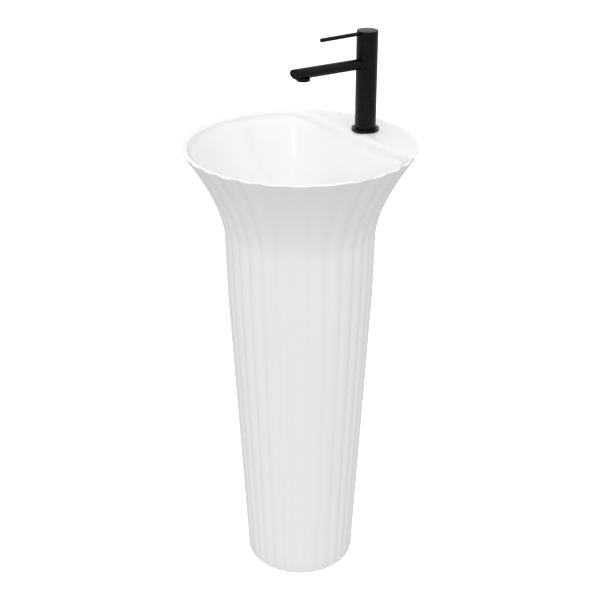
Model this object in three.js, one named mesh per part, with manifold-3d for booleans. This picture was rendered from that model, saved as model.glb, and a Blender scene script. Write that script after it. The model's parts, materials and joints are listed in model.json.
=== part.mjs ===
// A pedestal washbasin: a fluted ceramic column that flares into a round bowl, a single-lever mixer tap,
// a click-clack waste and a bottle trap. Millimetres, +Z up. The origin is on the floor, on the column's
// axis; the tap stands at +Y and the user at -Y.
import * as THREE from "three";
import { mergeVertices } from "three/addons/utils/BufferGeometryUtils.js";
import Module from "manifold-3d";

const wasm = await Module();
wasm.setup();

// ---- Fits shared by all pieces ----
const GAP = 0.3; // between pieces that touch
const PAST = 2; // how far a cutting tool runs past the face it cuts
const FINE = 32; // sides of a large round piece
const PLAIN = 20; // sides of a small round piece

// ---- Ceramic body ----
const RIM_HEIGHT = 850;
const RIM_RADIUS = 207.4;
const FOOT_RADIUS = 103.1;
const FOOT_EDGE = 1.2; // chamfer where the glaze ends at the floor
const COLUMN_TAPER = 0.0522; // growth of the radius per height
const NECK_BELOW_RIM = 277.5; // where the taper eases
const NECK_TAPER = 0.0236;
const FLARE_DEPTH = 160; // height of the trumpet flare under the rim
const FLARE_POWER = 1.585;
const WALL = 12;

const FLUTES = 30;
const FLUTE_START = THREE.MathUtils.degToRad(3.8);
const FLUTE_DRIFT = THREE.MathUtils.degToRad(2.3); // the hand-drawn flutes crowd and spread by this much
const DRIFT_CYCLES = 3;
const FLUTE_DEPTH_FOOT = 1.5;
const FLUTE_DEPTH_RIM = 3.6;
const DEPTH_SWING = 0.35; // share by which the depth varies round the column
const SWING_CYCLES = 4;
const SWING_START = THREE.MathUtils.degToRad(260);
const FLUTE_SHARPNESS = 1.6; // above 1, the valleys are narrower than the ridges
const SIDES_PER_FLUTE = 4;

// ---- Bowl, deck and hollow underneath ----
const BOWL_DEPTH = 138;
const BOWL_SIDES = 48;
const BOWL_ROUNDNESS = 3;
const SEAT_MARGIN = 2; // flat round the waste's flange
const SEAT_THICKNESS = 13;
const DECK_DEPTH = 93.4; // from the rim's back to the bowl's back edge
const BACK_SLOPE = 0.35;
const CORNER_BLEND = 34; // rounding between the bowl's back and its sides
const DUCT_DEPTH = 24; // room behind the bowl for the supply hoses
const DUCT_WIDTH = 92;
const DUCT_DROP = 190; // how far under the rim the duct still cuts

// ---- Rear service opening ----
const OPENING_WIDTH = 100;
const OPENING_HEIGHT = 200;
const OPENING_CORNER = 30;

// ---- Tap ----
const TAP_SETBACK = 64.4; // from the rim's back to the tap's axis
const TAP_HOLE_RADIUS = 17.5;
const TAP_RADIUS = 19;
const TAP_HEIGHT = 180;
const FLANGE_LIP = 5.7; // how far the base flange stands out from the body
const FLANGE_HEIGHT = 5;
const GASKET_THICKNESS = 1;
const SPOUT_HEIGHT = 122;
const SPOUT_TILT = THREE.MathUtils.degToRad(1.2);
const SPOUT_RADIUS = 9.4;
const SPOUT_WALL = 1.8;
const SPOUT_REACH = 153; // from the tap's axis to the middle of the slanting tip
const TIP_TURN = THREE.MathUtils.degToRad(26.6); // how far the end face looks aside, towards +X
const TIP_SLANT = THREE.MathUtils.degToRad(12.6); // how far it looks down
const TIP_RECESS = 1.2;
const TIP_PLATE = 1.6;
const SPOUT_SOCKET = 10; // depth of the spout in the body's side
const AERATOR_REACH = 136;
const AERATOR_RADIUS = 11.75;
const AERATOR_DROP = 3.4; // below the spout tube
const BOSS_DROP = 1.6;
const BOSS_TOP = 7.5; // the boss starts this far under the spout's axis
const NECK_RADIUS = 7.9;
const CAP_HEIGHT = 13.6;
const CAP_WEDGE = 2; // the gap under the cap grows by this much towards the back
const CAP_SKIRT = 2.2;
const CAP_SOLID = 9; // thickness of the cap's top, which holds the lever
const EDGE = 0.8;
const LEVER_RADIUS = 3.5;
const LEVER_REACH = 100;
const LEVER_BELOW_TOP = 4.1;
const CARTRIDGE_RADIUS = 14;
const CARTRIDGE_WALL = 1.7;
const CARTRIDGE_DEPTH = 32; // from the body's top to the cartridge's floor
const DISC_THICKNESS = 2.5;
const PIVOT_ABOVE_FLOOR = 15;
const SPINDLE_RADIUS = 2.3;
const PIN_RADIUS = 1.05;
const INLET_RADIUS = 5;
const INLET_SPREAD = 7.5;
const INLET_BACK = 3;
const PORT_RADIUS = 3;
const OUTLET_FORWARD = 5;
const STUD_RADIUS = 4;
const STUD_LENGTH = 70;
const STUD_FORWARD = 10; // from the tap's axis towards the bowl
const HORSESHOE_CLEARANCE = 1.2; // to the front of the duct

// ---- Waste and trap ----
const WASTE_RADIUS = 21;
const DRAIN_CLEARANCE = 2;
const WASTE_FLANGE_LIP = 11; // how far the waste's flange stands out from its tube
const WASTE_WALL = 2.5;
const WASTE_LENGTH = 72; // below the bowl's seat
const PLUG_INSET = 1.5; // how far the plug is smaller than the flange
const PLUG_DOME = 4.6;
const STEM_RADIUS = 2.3;
const PIPE_RADIUS = 16;
const PIPE_WALL = 1.6;
const THREAD_DEPTH = 5.6; // how much wider a slip nut is than the tube it clamps
const TRAP_RADIUS = 30;
const TRAP_WALL = 2.5;
const TRAP_NECK_DROP = 122; // from the seat down to the trap's neck
const OUTLET_DROP = 167;
const TRAP_HEAD_DROP = 212;
const TRAP_CUP_DROP = 262;
const DIP_DROP = 232;
const OUTLET_BOSS_REACH = 50;
const PIPE_RECESS = 6; // the waste pipe ends this far inside the column's surface

// ---- Derived places ----
const TAP_Y = RIM_RADIUS - TAP_SETBACK;
const FLANGE_RADIUS = TAP_RADIUS + FLANGE_LIP;
const DRAIN_RADIUS = WASTE_RADIUS + DRAIN_CLEARANCE;
const WASTE_FLANGE_RADIUS = WASTE_RADIUS + WASTE_FLANGE_LIP;
const PLUG_RADIUS = WASTE_FLANGE_RADIUS - PLUG_INSET;
const SEAT_RADIUS = WASTE_FLANGE_RADIUS + SEAT_MARGIN;
const DECK_FRONT = RIM_RADIUS - DECK_DEPTH;
const SEAT_Z = RIM_HEIGHT - BOWL_DEPTH;
const OUTLET_Z = SEAT_Z - OUTLET_DROP;
const BODY_TOP = TAP_HEIGHT - CAP_HEIGHT - GAP;
const CARTRIDGE_FLOOR = BODY_TOP - CARTRIDGE_DEPTH;
const PIVOT_Z = CARTRIDGE_FLOOR + PIVOT_ABOVE_FLOOR;

// ---- Finishes ----
const finish = (color, roughness, metalness = 0) =>
  new THREE.MeshStandardMaterial({ color, roughness, metalness, flatShading: true });
const FINISHES = {
  glaze: () => finish(0xf4f4f2, 0.12),
  matteBlack: () => finish(0x171717, 0.5, 0.3),
  chrome: () => finish(0xd8dadc, 0.1, 1),
  brass: () => finish(0xb8933f, 0.35, 1),
  steel: () => finish(0xb4b6b8, 0.3, 1),
  rubber: () => finish(0x202020, 0.9),
  whitePlastic: () => finish(0xe6e6e0, 0.45),
  discCeramic: () => finish(0xf0ece2, 0.3),
};

// ---- Solids ----
function solidFrom(geometry) {
  const bare = geometry.clone();
  bare.deleteAttribute("normal");
  bare.deleteAttribute("uv");
  const merged = mergeVertices(bare, 1e-4);
  return new wasm.Manifold(
    new wasm.Mesh({
      numProp: 3,
      vertProperties: merged.attributes.position.array,
      triVerts: new Uint32Array(merged.index.array),
    }),
  );
}

function geometryFrom(solid) {
  const { vertProperties, triVerts } = solid.getMesh();
  const geometry = new THREE.BufferGeometry();
  geometry.setAttribute("position", new THREE.BufferAttribute(vertProperties, 3));
  geometry.setIndex(new THREE.BufferAttribute(triVerts, 1));
  return geometry;
}

const cut = (base, ...tools) =>
  geometryFrom(tools.reduce((left, tool) => left.subtract(solidFrom(tool)), solidFrom(base)));

const join = (...pieces) => geometryFrom(pieces.map(solidFrom).reduce((all, piece) => all.add(piece)));

// Revolves [radius, height] pairs about Z. The pairs run anticlockwise, with the radius to the right.
function turned(profile, sides = PLAIN) {
  const points = profile.map(([radius, height]) => new THREE.Vector2(radius, height));
  return new THREE.LatheGeometry(points, sides).rotateX(Math.PI / 2);
}

function rod(radius, bottom, top, sides = PLAIN) {
  return turned([[0, bottom], [radius, bottom], [radius, top], [0, top]], sides);
}

function ring(inner, outer, bottom, top, sides = PLAIN) {
  return turned([[inner, bottom], [outer, bottom], [outer, top], [inner, top], [inner, bottom]], sides);
}

// Turns a piece made along +Z to lie along +Y, or along -Y.
const alongY = (geometry) => geometry.rotateX(-Math.PI / 2);
const alongMinusY = (geometry) => geometry.rotateX(Math.PI / 2);

function block(minimum, maximum) {
  const size = maximum.map((high, i) => high - minimum[i]);
  const centre = maximum.map((high, i) => (high + minimum[i]) / 2);
  return new THREE.BoxGeometry(...size).translate(...centre);
}

function extruded(shape, bottom, top, curveSegments = 6) {
  const depth = top - bottom;
  return new THREE.ExtrudeGeometry(shape, { depth, bevelEnabled: false, curveSegments })
    .translate(0, 0, bottom);
}

function hexNut(bore, acrossFlats, bottom, top) {
  const cornerRadius = acrossFlats / Math.sqrt(3);
  const shape = new THREE.Shape();
  for (let corner = 0; corner < 6; corner++) {
    const angle = (corner * Math.PI) / 3;
    const point = [cornerRadius * Math.cos(angle), cornerRadius * Math.sin(angle)];
    if (corner === 0) shape.moveTo(...point);
    else shape.lineTo(...point);
  }
  shape.closePath();
  shape.holes.push(new THREE.Path().absarc(0, 0, bore, 0, 2 * Math.PI, true));
  return extruded(shape, bottom, top, 12);
}

// Joins rings of points into a closed skin. The rings run upwards, each anticlockwise seen from above.
function loft(rings) {
  const count = rings[0].length;
  const points = rings.flat();
  const centreOf = (r) => r.reduce((sum, p) => sum.add(p), new THREE.Vector3()).divideScalar(count);
  const bottomCentre = points.push(centreOf(rings[0])) - 1;
  const topCentre = points.push(centreOf(rings.at(-1))) - 1;
  const topStart = (rings.length - 1) * count;
  const index = [];
  for (let i = 0; i < count; i++) {
    const next = (i + 1) % count;
    for (let start = 0; start < topStart; start += count) {
      index.push(start + i, start + next, start + next + count);
      index.push(start + i, start + next + count, start + i + count);
    }
    index.push(bottomCentre, next, i);
    index.push(topCentre, topStart + i, topStart + next);
  }
  const geometry = new THREE.BufferGeometry().setFromPoints(points);
  geometry.setIndex(index);
  return geometry;
}

const polar = (radius, angle, z) =>
  new THREE.Vector3(radius * Math.cos(angle), radius * Math.sin(angle), z);

const evenAngles = (count) => Array.from({ length: count }, (_, i) => (2 * Math.PI * i) / count);

function place(group, name, geometry, material, position = [0, 0, 0]) {
  geometry.computeVertexNormals();
  const mesh = new THREE.Mesh(geometry, material);
  mesh.name = name;
  mesh.position.set(...position);
  group.add(mesh);
}

// ---- The ceramic body ----

// The radius over the ridges of the flutes, at a height.
function ridgeRadius(z) {
  const neckZ = RIM_HEIGHT - NECK_BELOW_RIM;
  const taper = (height) =>
    FOOT_RADIUS + COLUMN_TAPER * Math.min(height, neckZ) + NECK_TAPER * Math.max(0, height - neckZ);
  const rise = Math.max(0, (z - RIM_HEIGHT + FLARE_DEPTH) / FLARE_DEPTH);
  return taper(z) + (RIM_RADIUS - taper(RIM_HEIGHT)) * rise ** FLARE_POWER;
}

const fluteDepth = (z) =>
  FLUTE_DEPTH_FOOT +
  ((FLUTE_DEPTH_RIM - FLUTE_DEPTH_FOOT) * (ridgeRadius(z) - FOOT_RADIUS)) / (RIM_RADIUS - FOOT_RADIUS);

// The angle of each side of the flutes, with a side's edge on every ridge and every valley.
function fluteAngles() {
  const sides = FLUTES * SIDES_PER_FLUTE;
  return evenAngles(sides).map((even) => {
    let angle = even - FLUTE_START;
    for (let step = 0; step < 20; step++)
      angle = even - FLUTE_START + FLUTE_DRIFT * Math.cos(DRIFT_CYCLES * angle);
    return angle;
  });
}

function flutedRadius(angle, z) {
  const phase = FLUTES * (angle + FLUTE_START - FLUTE_DRIFT * Math.cos(DRIFT_CYCLES * angle));
  const valley = ((1 + Math.cos(phase)) / 2) ** FLUTE_SHARPNESS;
  const swing = 1 + DEPTH_SWING * Math.cos(SWING_CYCLES * angle + SWING_START);
  return ridgeRadius(z) - fluteDepth(z) * swing * valley;
}

function outerSkin() {
  const angles = fluteAngles();
  const columnHeights = [4 * FOOT_EDGE, (RIM_HEIGHT - NECK_BELOW_RIM) / 2, RIM_HEIGHT - NECK_BELOW_RIM];
  const flareShares = [0, 0.2, 0.38, 0.54, 0.68, 0.8, 0.91, 1];
  const flareHeights = flareShares.map((share) => RIM_HEIGHT - FLARE_DEPTH * (1 - share));
  const foot = angles.map((angle) => polar(flutedRadius(angle, 0) - FOOT_EDGE, angle, 0));
  const above = [...columnHeights, ...flareHeights].map((z) =>
    angles.map((angle) => polar(flutedRadius(angle, z), angle, z)),
  );
  return loft([foot, ...above]);
}

// How far back the bowl reaches at a height, so that the deck and the duct behind it have their room.
const bowlBack = (z) =>
  Math.min(DECK_FRONT - BACK_SLOPE * (RIM_HEIGHT - z), ridgeRadius(z) - 2 * WALL - DUCT_DEPTH);

const ductFront = (z) => bowlBack(z) + WALL;

function bowlRadius(angle, z) {
  const rise = Math.min(1, (z - SEAT_Z) / BOWL_DEPTH);
  const roundness = Math.sqrt(1 - (1 - rise) ** BOWL_ROUNDNESS);
  const side = SEAT_RADIUS + (ridgeRadius(Math.min(z, RIM_HEIGHT)) - WALL - SEAT_RADIUS) * roundness;
  const facing = Math.sin(angle);
  if (facing <= 0.05) return side;
  const back = bowlBack(z) / facing;
  const blend = Math.max(0, 1 - Math.abs(side - back) / CORNER_BLEND);
  return Math.max(SEAT_RADIUS, Math.min(side, back) - (CORNER_BLEND / 4) * blend ** 2);
}

function bowlTool() {
  const angles = evenAngles(BOWL_SIDES);
  const shares = [0, 0.02, 0.08, 0.18, 0.32, 0.5, 0.68, 0.84, 1];
  const heights = [...shares.map((share) => SEAT_Z + BOWL_DEPTH * share), RIM_HEIGHT + PAST];
  return loft(heights.map((z) => angles.map((angle) => polar(bowlRadius(angle, z), angle, z))));
}

// The hollow of the column, whose ceiling follows the underside of the bowl.
function columnHollow() {
  const inside = (z) => ridgeRadius(z) - WALL;
  const ceiling = SEAT_Z - SEAT_THICKNESS;
  const shoulder = SEAT_Z - 12;
  const neckZ = RIM_HEIGHT - NECK_BELOW_RIM;
  const profile = [
    [0, -PAST],
    [inside(0), -PAST],
    [inside(neckZ), neckZ],
    [inside(shoulder), shoulder],
    [inside(shoulder) - 3, shoulder + 14],
    [inside(shoulder) - 14, shoulder + 20],
    [SEAT_RADIUS + 44, ceiling + 11],
    [SEAT_RADIUS + 8, ceiling],
    [0, ceiling],
  ];
  return turned(profile, BOWL_SIDES);
}

// The duct from the column's hollow up behind the bowl to the underside of the deck.
function hoseDuct() {
  const top = RIM_HEIGHT - WALL;
  const heights = [0, 0.2, 0.4, 0.6, 0.8, 1].map((share) => top - (DUCT_DROP - WALL) * (1 - share));
  const rings = heights.map((z) => {
    const far = ridgeRadius(z) - WALL - 1;
    const near = ductFront(z);
    const centre = (far + near) / 2;
    const halfDepth = (far - near) / 2;
    const halfWidth = Math.min(DUCT_WIDTH / 2, Math.sqrt(halfDepth * far));
    return evenAngles(PLAIN + 8).map(
      (angle) => new THREE.Vector3(halfWidth * Math.cos(angle), centre + halfDepth * Math.sin(angle), z),
    );
  });
  return loft(rings);
}

// A rounded window through the back of the column, round the trap's outlet.
function serviceOpening() {
  const w = OPENING_WIDTH / 2 - OPENING_CORNER;
  const h = OPENING_HEIGHT / 2 - OPENING_CORNER;
  const shape = new THREE.Shape();
  shape.absarc(w, h, OPENING_CORNER, 0, Math.PI / 2);
  shape.absarc(-w, h, OPENING_CORNER, Math.PI / 2, Math.PI);
  shape.absarc(-w, -h, OPENING_CORNER, Math.PI, 1.5 * Math.PI);
  shape.absarc(w, -h, OPENING_CORNER, 1.5 * Math.PI, 2 * Math.PI);
  shape.closePath();
  const near = OPENING_WIDTH / 2;
  const far = ridgeRadius(OUTLET_Z + OPENING_HEIGHT) + PAST;
  return alongY(extruded(shape, near, far)).translate(0, 0, OUTLET_Z);
}

function basinBody() {
  const drainHole = rod(DRAIN_RADIUS, SEAT_Z - SEAT_THICKNESS - PAST, SEAT_Z + PAST, PLAIN);
  const tapHole = rod(TAP_HOLE_RADIUS, RIM_HEIGHT - WALL - PAST, RIM_HEIGHT + PAST, PLAIN)
    .translate(0, TAP_Y, 0);
  return cut(outerSkin(), bowlTool(), columnHollow(), hoseDuct(), serviceOpening(), drainHole, tapHole);
}

// ---- The tap, in a frame whose origin is on the deck, on the tap's axis ----

// A tool that removes all that lies beyond the slanting tip, moved back by an offset, above a floor.
function tipTool(offset, floor) {
  const size = 4 * SPOUT_RADIUS;
  const beyond = block([-size, -size, -size], [size, 0, size])
    .rotateX(TIP_SLANT)
    .rotateZ(TIP_TURN)
    .translate(0, -SPOUT_REACH + offset / (Math.cos(TIP_SLANT) * Math.cos(TIP_TURN)), 0);
  const below = block([-2 * size, -SPOUT_REACH - 2 * size, -2 * size], [2 * size, 0, floor]);
  return cut(beyond, below);
}

function spoutTube() {
  const bore = SPOUT_RADIUS - SPOUT_WALL;
  const bossBottom = -SPOUT_RADIUS - BOSS_DROP;
  const start = TAP_RADIUS - SPOUT_SOCKET + GAP;
  const end = SPOUT_REACH + SPOUT_RADIUS;
  const rawTube = alongMinusY(rod(SPOUT_RADIUS, start, end, FINE));
  const tube = cut(rawTube, tipTool(0, -2 * SPOUT_RADIUS));
  const rawBoss = rod(AERATOR_RADIUS, bossBottom, -BOSS_TOP, FINE).translate(0, -AERATOR_REACH, 0);
  const boss = cut(rawBoss, tipTool(0, 1 - SPOUT_RADIUS));
  const tubeBore = alongMinusY(rod(bore, start - PAST, end + PAST));
  const thread = rod(NECK_RADIUS + GAP, bossBottom - PAST, -SPOUT_RADIUS + 0.7)
    .translate(0, -AERATOR_REACH, 0);
  const port = rod(PORT_RADIUS + 1, -SPOUT_RADIUS, 0).translate(0, -AERATOR_REACH + 2, 0);
  return cut(join(tube, boss), tubeBore, thread, port);
}

function spoutEndCap() {
  const length = SPOUT_REACH + SPOUT_RADIUS;
  const plug = alongMinusY(rod(SPOUT_RADIUS - SPOUT_WALL - GAP, SPOUT_REACH - 30, length));
  const floor = -2 * SPOUT_RADIUS;
  const behind = cut(plug, tipTool(TIP_RECESS, floor));
  return cut(behind, cut(plug, tipTool(TIP_RECESS + TIP_PLATE, floor)));
}

function aeratorHousing() {
  const bottom = -SPOUT_RADIUS - AERATOR_DROP;
  const shoulder = -SPOUT_RADIUS - BOSS_DROP - GAP;
  const neckTop = -SPOUT_RADIUS - 0.4;
  return turned([
    [5.4, bottom],
    [AERATOR_RADIUS - 0.5, bottom],
    [AERATOR_RADIUS, bottom + 0.5],
    [AERATOR_RADIUS, shoulder],
    [NECK_RADIUS, shoulder],
    [NECK_RADIUS, neckTop],
    [6.5, neckTop],
    [6.5, bottom + 1.2],
    [5.4, bottom + 1.2],
    [5.4, bottom],
  ], FINE);
}

function tapBody() {
  const body = turned([
    [0, GAP],
    [TAP_RADIUS, GAP],
    [TAP_RADIUS, BODY_TOP - EDGE],
    [TAP_RADIUS - EDGE, BODY_TOP],
    [0, BODY_TOP],
  ], FINE);
  const cartridgeBore = rod(CARTRIDGE_RADIUS + GAP, CARTRIDGE_FLOOR, BODY_TOP + PAST, FINE);
  const socketBottom = TAP_RADIUS - SPOUT_SOCKET;
  const socket = alongMinusY(rod(SPOUT_RADIUS + GAP, socketBottom, TAP_RADIUS + PAST, FINE))
    .rotateX(-SPOUT_TILT)
    .translate(0, 0, SPOUT_HEIGHT);
  const outletDown = rod(PORT_RADIUS, SPOUT_HEIGHT, CARTRIDGE_FLOOR + PAST).translate(0, -OUTLET_FORWARD, 0);
  const outletAcross = alongMinusY(rod(PORT_RADIUS, 0, socketBottom + PAST))
    .translate(0, 0, SPOUT_HEIGHT);
  const tools = [cartridgeBore, socket, outletDown, outletAcross];
  for (const side of [-1, 1]) {
    tools.push(rod(INLET_RADIUS, -PAST, 20, 16).translate(side * INLET_SPREAD, INLET_BACK, 0));
    tools.push(rod(PORT_RADIUS, 18, CARTRIDGE_FLOOR + PAST, 16).translate(side * INLET_SPREAD, INLET_BACK, 0));
  }
  tools.push(rod(STUD_RADIUS + GAP, -PAST, 18, 16).translate(0, -STUD_FORWARD, 0));
  return cut(body, ...tools);
}

function baseFlange() {
  const inner = TAP_RADIUS + GAP;
  const recess = GAP + GASKET_THICKNESS + GAP;
  return turned([
    [inner, recess],
    [FLANGE_RADIUS - 1, recess],
    [FLANGE_RADIUS - 1, GAP],
    [FLANGE_RADIUS, GAP],
    [FLANGE_RADIUS, FLANGE_HEIGHT - EDGE],
    [FLANGE_RADIUS - EDGE, FLANGE_HEIGHT],
    [inner, FLANGE_HEIGHT],
    [inner, recess],
  ], FINE);
}

// The cap's lower face slopes up towards the back, which leaves room for the cap to tip when it is lifted.
function handleCap() {
  const bottom = BODY_TOP + GAP;
  const hollowTop = TAP_HEIGHT - CAP_SOLID;
  const socketTop = hollowTop + 3;
  const leverZ = TAP_HEIGHT - LEVER_BELOW_TOP;
  const shell = cut(
    turned([
      [0, bottom],
      [TAP_RADIUS, bottom],
      [TAP_RADIUS, TAP_HEIGHT - EDGE],
      [TAP_RADIUS - EDGE, TAP_HEIGHT],
      [0, TAP_HEIGHT],
    ], FINE),
    rod(TAP_RADIUS - CAP_SKIRT, bottom - PAST, hollowTop, FINE),
  );
  const withBoss = join(shell, rod(5.5, bottom + CAP_WEDGE, hollowTop + 1));
  const wedge = block([-30, 0, -20], [30, 60, 0])
    .rotateX(Math.atan(CAP_WEDGE / (2 * TAP_RADIUS)))
    .translate(0, -TAP_RADIUS, bottom);
  return cut(
    withBoss,
    wedge,
    rod(SPINDLE_RADIUS + GAP, bottom - PAST, socketTop),
    alongMinusY(rod(LEVER_RADIUS + GAP, 7, TAP_RADIUS + PAST)).translate(0, 0, leverZ),
    alongY(rod(2.3, 1, TAP_RADIUS + PAST, 16)).translate(0, 0, socketTop - 1),
  );
}

function leverPin() {
  const start = 7 + GAP;
  return alongMinusY(
    turned([
      [0, start],
      [LEVER_RADIUS, start],
      [LEVER_RADIUS, LEVER_REACH - 0.6],
      [LEVER_RADIUS - 0.6, LEVER_REACH],
      [0, LEVER_REACH],
    ]),
  );
}

// A clamping plate with a hole for the stud and a slot, open at the back, for the supply hoses.
function horseshoe(bottom, top) {
  const radius = TAP_Y - ductFront(RIM_HEIGHT - WALL) - HORSESHOE_CLEARANCE;
  const slot = 13;
  const slotCentre = -STUD_FORWARD + STUD_RADIUS + 2.5 + slot;
  const shape = new THREE.Shape();
  const turn = Math.asin(slot / radius);
  shape.absarc(0, 0, radius, Math.PI / 2 + turn, 2.5 * Math.PI - turn);
  shape.lineTo(slot, slotCentre);
  shape.absarc(0, slotCentre, slot, 0, Math.PI, true);
  shape.closePath();
  shape.holes.push(new THREE.Path().absarc(0, -STUD_FORWARD, STUD_RADIUS + GAP, 0, 2 * Math.PI, true));
  return extruded(shape, bottom, top, 10);
}

function fixedDisc() {
  const bottom = CARTRIDGE_FLOOR + 1.6;
  const top = bottom + DISC_THICKNESS;
  const ports = [[-INLET_SPREAD, INLET_BACK], [INLET_SPREAD, INLET_BACK], [0, -OUTLET_FORWARD]];
  return cut(
    rod(CARTRIDGE_RADIUS - CARTRIDGE_WALL - GAP, bottom, top),
    ...ports.map(([x, y]) => rod(PORT_RADIUS - 0.5, bottom - 1, top + 1, 12).translate(x, y, 0)),
  );
}

const MOVING_DISC_BOTTOM = CARTRIDGE_FLOOR + 1.6 + DISC_THICKNESS + GAP;
const CARRIER_BOTTOM = MOVING_DISC_BOTTOM + DISC_THICKNESS + GAP;
const CARRIER_TOP = CARRIER_BOTTOM + 4;
const MOVING_DISC_RADIUS = 8.5;

function movingDisc() {
  const pocket = rod(5, MOVING_DISC_BOTTOM - 1, MOVING_DISC_BOTTOM + 1.2, 16).translate(0, 1, 0);
  return cut(rod(MOVING_DISC_RADIUS, MOVING_DISC_BOTTOM, MOVING_DISC_BOTTOM + DISC_THICKNESS), pocket);
}

function discCarrier() {
  const socket = rod(SPINDLE_RADIUS + 1.1, CARRIER_TOP - 2.2, CARRIER_TOP + 1, 16);
  return cut(rod(MOVING_DISC_RADIUS, CARRIER_BOTTOM, CARRIER_TOP), socket);
}

function cartridgeHousing() {
  const inner = CARTRIDGE_RADIUS - CARTRIDGE_WALL;
  const bottom = CARTRIDGE_FLOOR + 1.6;
  const top = BODY_TOP - 8;
  return turned([
    [inner, bottom],
    [CARTRIDGE_RADIUS, bottom],
    [CARTRIDGE_RADIUS, top],
    [inner - 1.7, top],
    [inner - 1.7, top - 2.5],
    [inner, top - 2.5],
    [inner, bottom],
  ]);
}

function cartridgeRotor() {
  const radius = CARTRIDGE_RADIUS - CARTRIDGE_WALL - GAP;
  const bottom = CARRIER_TOP + 0.8;
  const shoulder = BODY_TOP - 8 - 2.5 - GAP;
  const top = BODY_TOP - 5.5;
  const body = turned([
    [0, bottom],
    [radius, bottom],
    [radius, shoulder],
    [radius - 1.7, shoulder],
    [radius - 1.7, top],
    [0, top],
  ]);
  const slot = block([-3.5, -4, bottom - PAST], [3.5, 8, top + PAST]);
  const pinHole = rod(PIN_RADIUS + GAP, -radius - PAST, radius + PAST, 12)
    .rotateY(Math.PI / 2)
    .translate(0, 0, PIVOT_Z);
  return cut(body, slot, pinHole);
}

function spindle() {
  const swell = 3.1;
  const body = turned([
    [0, CARRIER_TOP - 1.8],
    [SPINDLE_RADIUS, CARRIER_TOP - 1.8],
    [SPINDLE_RADIUS, PIVOT_Z - swell],
    [swell, PIVOT_Z - swell],
    [swell, PIVOT_Z + swell],
    [SPINDLE_RADIUS, PIVOT_Z + swell],
    [SPINDLE_RADIUS, TAP_HEIGHT - CAP_SOLID + 3 - GAP],
    [0, TAP_HEIGHT - CAP_SOLID + 3 - GAP],
  ], 16);
  const pinHole = rod(PIN_RADIUS + GAP, -5, 5, 12).rotateY(Math.PI / 2).translate(0, 0, PIVOT_Z);
  return cut(body, pinHole);
}

function tapGroup() {
  const group = new THREE.Group();
  group.position.set(0, TAP_Y, RIM_HEIGHT);
  const { matteBlack, brass, steel, rubber, whitePlastic, discCeramic } = FINISHES;

  place(group, "tap_body", tapBody(), matteBlack());
  place(group, "base_flange", baseFlange(), matteBlack());
  const gasket = ring(TAP_RADIUS + 0.8, FLANGE_RADIUS - 1 - GAP, GAP, GAP + GASKET_THICKNESS);
  place(group, "base_gasket", gasket, rubber());

  const spout = new THREE.Group();
  spout.position.set(0, 0, SPOUT_HEIGHT);
  spout.rotation.x = -SPOUT_TILT;
  group.add(spout);
  const aeratorPlace = [0, -AERATOR_REACH, 0];
  const aeratorBottom = -SPOUT_RADIUS - AERATOR_DROP;
  place(spout, "spout_tube", spoutTube(), matteBlack());
  place(spout, "spout_end_cap", spoutEndCap(), matteBlack());
  place(spout, "aerator_housing", aeratorHousing(), matteBlack(), aeratorPlace);
  const insert = rod(6.2, aeratorBottom + 1.2 + GAP, -SPOUT_RADIUS - 0.8, 16);
  place(spout, "aerator_insert", insert, whitePlastic(), aeratorPlace);
  const seal = ring(5.2, NECK_RADIUS - GAP, -SPOUT_RADIUS - 0.1, -SPOUT_RADIUS + 0.4, 16);
  place(spout, "aerator_seal", seal, rubber(), aeratorPlace);

  const sealRing = ring(CARTRIDGE_RADIUS - 3.2, CARTRIDGE_RADIUS, CARTRIDGE_FLOOR + GAP, CARTRIDGE_FLOOR + 1.3);
  place(group, "cartridge_seal", sealRing, rubber());
  place(group, "fixed_disc", fixedDisc(), discCeramic());
  place(group, "moving_disc", movingDisc(), discCeramic());
  place(group, "disc_carrier", discCarrier(), whitePlastic());
  place(group, "cartridge_housing", cartridgeHousing(), whitePlastic());
  place(group, "cartridge_rotor", cartridgeRotor(), whitePlastic());
  const nut = ring(CARTRIDGE_RADIUS - 3, CARTRIDGE_RADIUS, BODY_TOP - 8 + GAP, BODY_TOP - 2.5);
  place(group, "cartridge_nut", nut, brass());
  const pinHalf = CARTRIDGE_RADIUS - CARTRIDGE_WALL - 0.7;
  const pin = rod(PIN_RADIUS, -pinHalf, pinHalf, 12).rotateY(Math.PI / 2);
  place(group, "pivot_pin", pin, steel(), [0, 0, PIVOT_Z]);
  place(group, "spindle", spindle(), brass());

  place(group, "handle_cap", handleCap(), matteBlack());
  place(group, "lever_pin", leverPin(), matteBlack(), [0, 0, TAP_HEIGHT - LEVER_BELOW_TOP]);
  const screwZ = TAP_HEIGHT - CAP_SOLID + 2;
  const screw = alongY(rod(2, SPINDLE_RADIUS + GAP, 10, 12));
  place(group, "grub_screw", screw, steel(), [0, 0, screwZ]);
  const screwPlug = alongY(rod(2, TAP_RADIUS - 3, TAP_RADIUS - 0.4, 12));
  place(group, "screw_plug", screwPlug, rubber(), [0, 0, screwZ]);

  const stud = rod(STUD_RADIUS, 17 - STUD_LENGTH, 17, 16);
  place(group, "mounting_stud", stud, steel(), [0, -STUD_FORWARD, 0]);
  const sealTop = -WALL - GAP;
  place(group, "horseshoe_seal", horseshoe(sealTop - 3, sealTop), rubber());
  place(group, "horseshoe_plate", horseshoe(sealTop - 5.3, sealTop - 3.3), steel());
  const nutTop = sealTop - 5.6;
  const studNut = hexNut(STUD_RADIUS + GAP, 12, nutTop - 14, nutTop);
  place(group, "stud_nut", studNut, brass(), [0, -STUD_FORWARD, 0]);
  return group;
}

// ---- The waste and the trap, in a frame whose origin is on the bowl's seat, on the drain's axis ----

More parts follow.
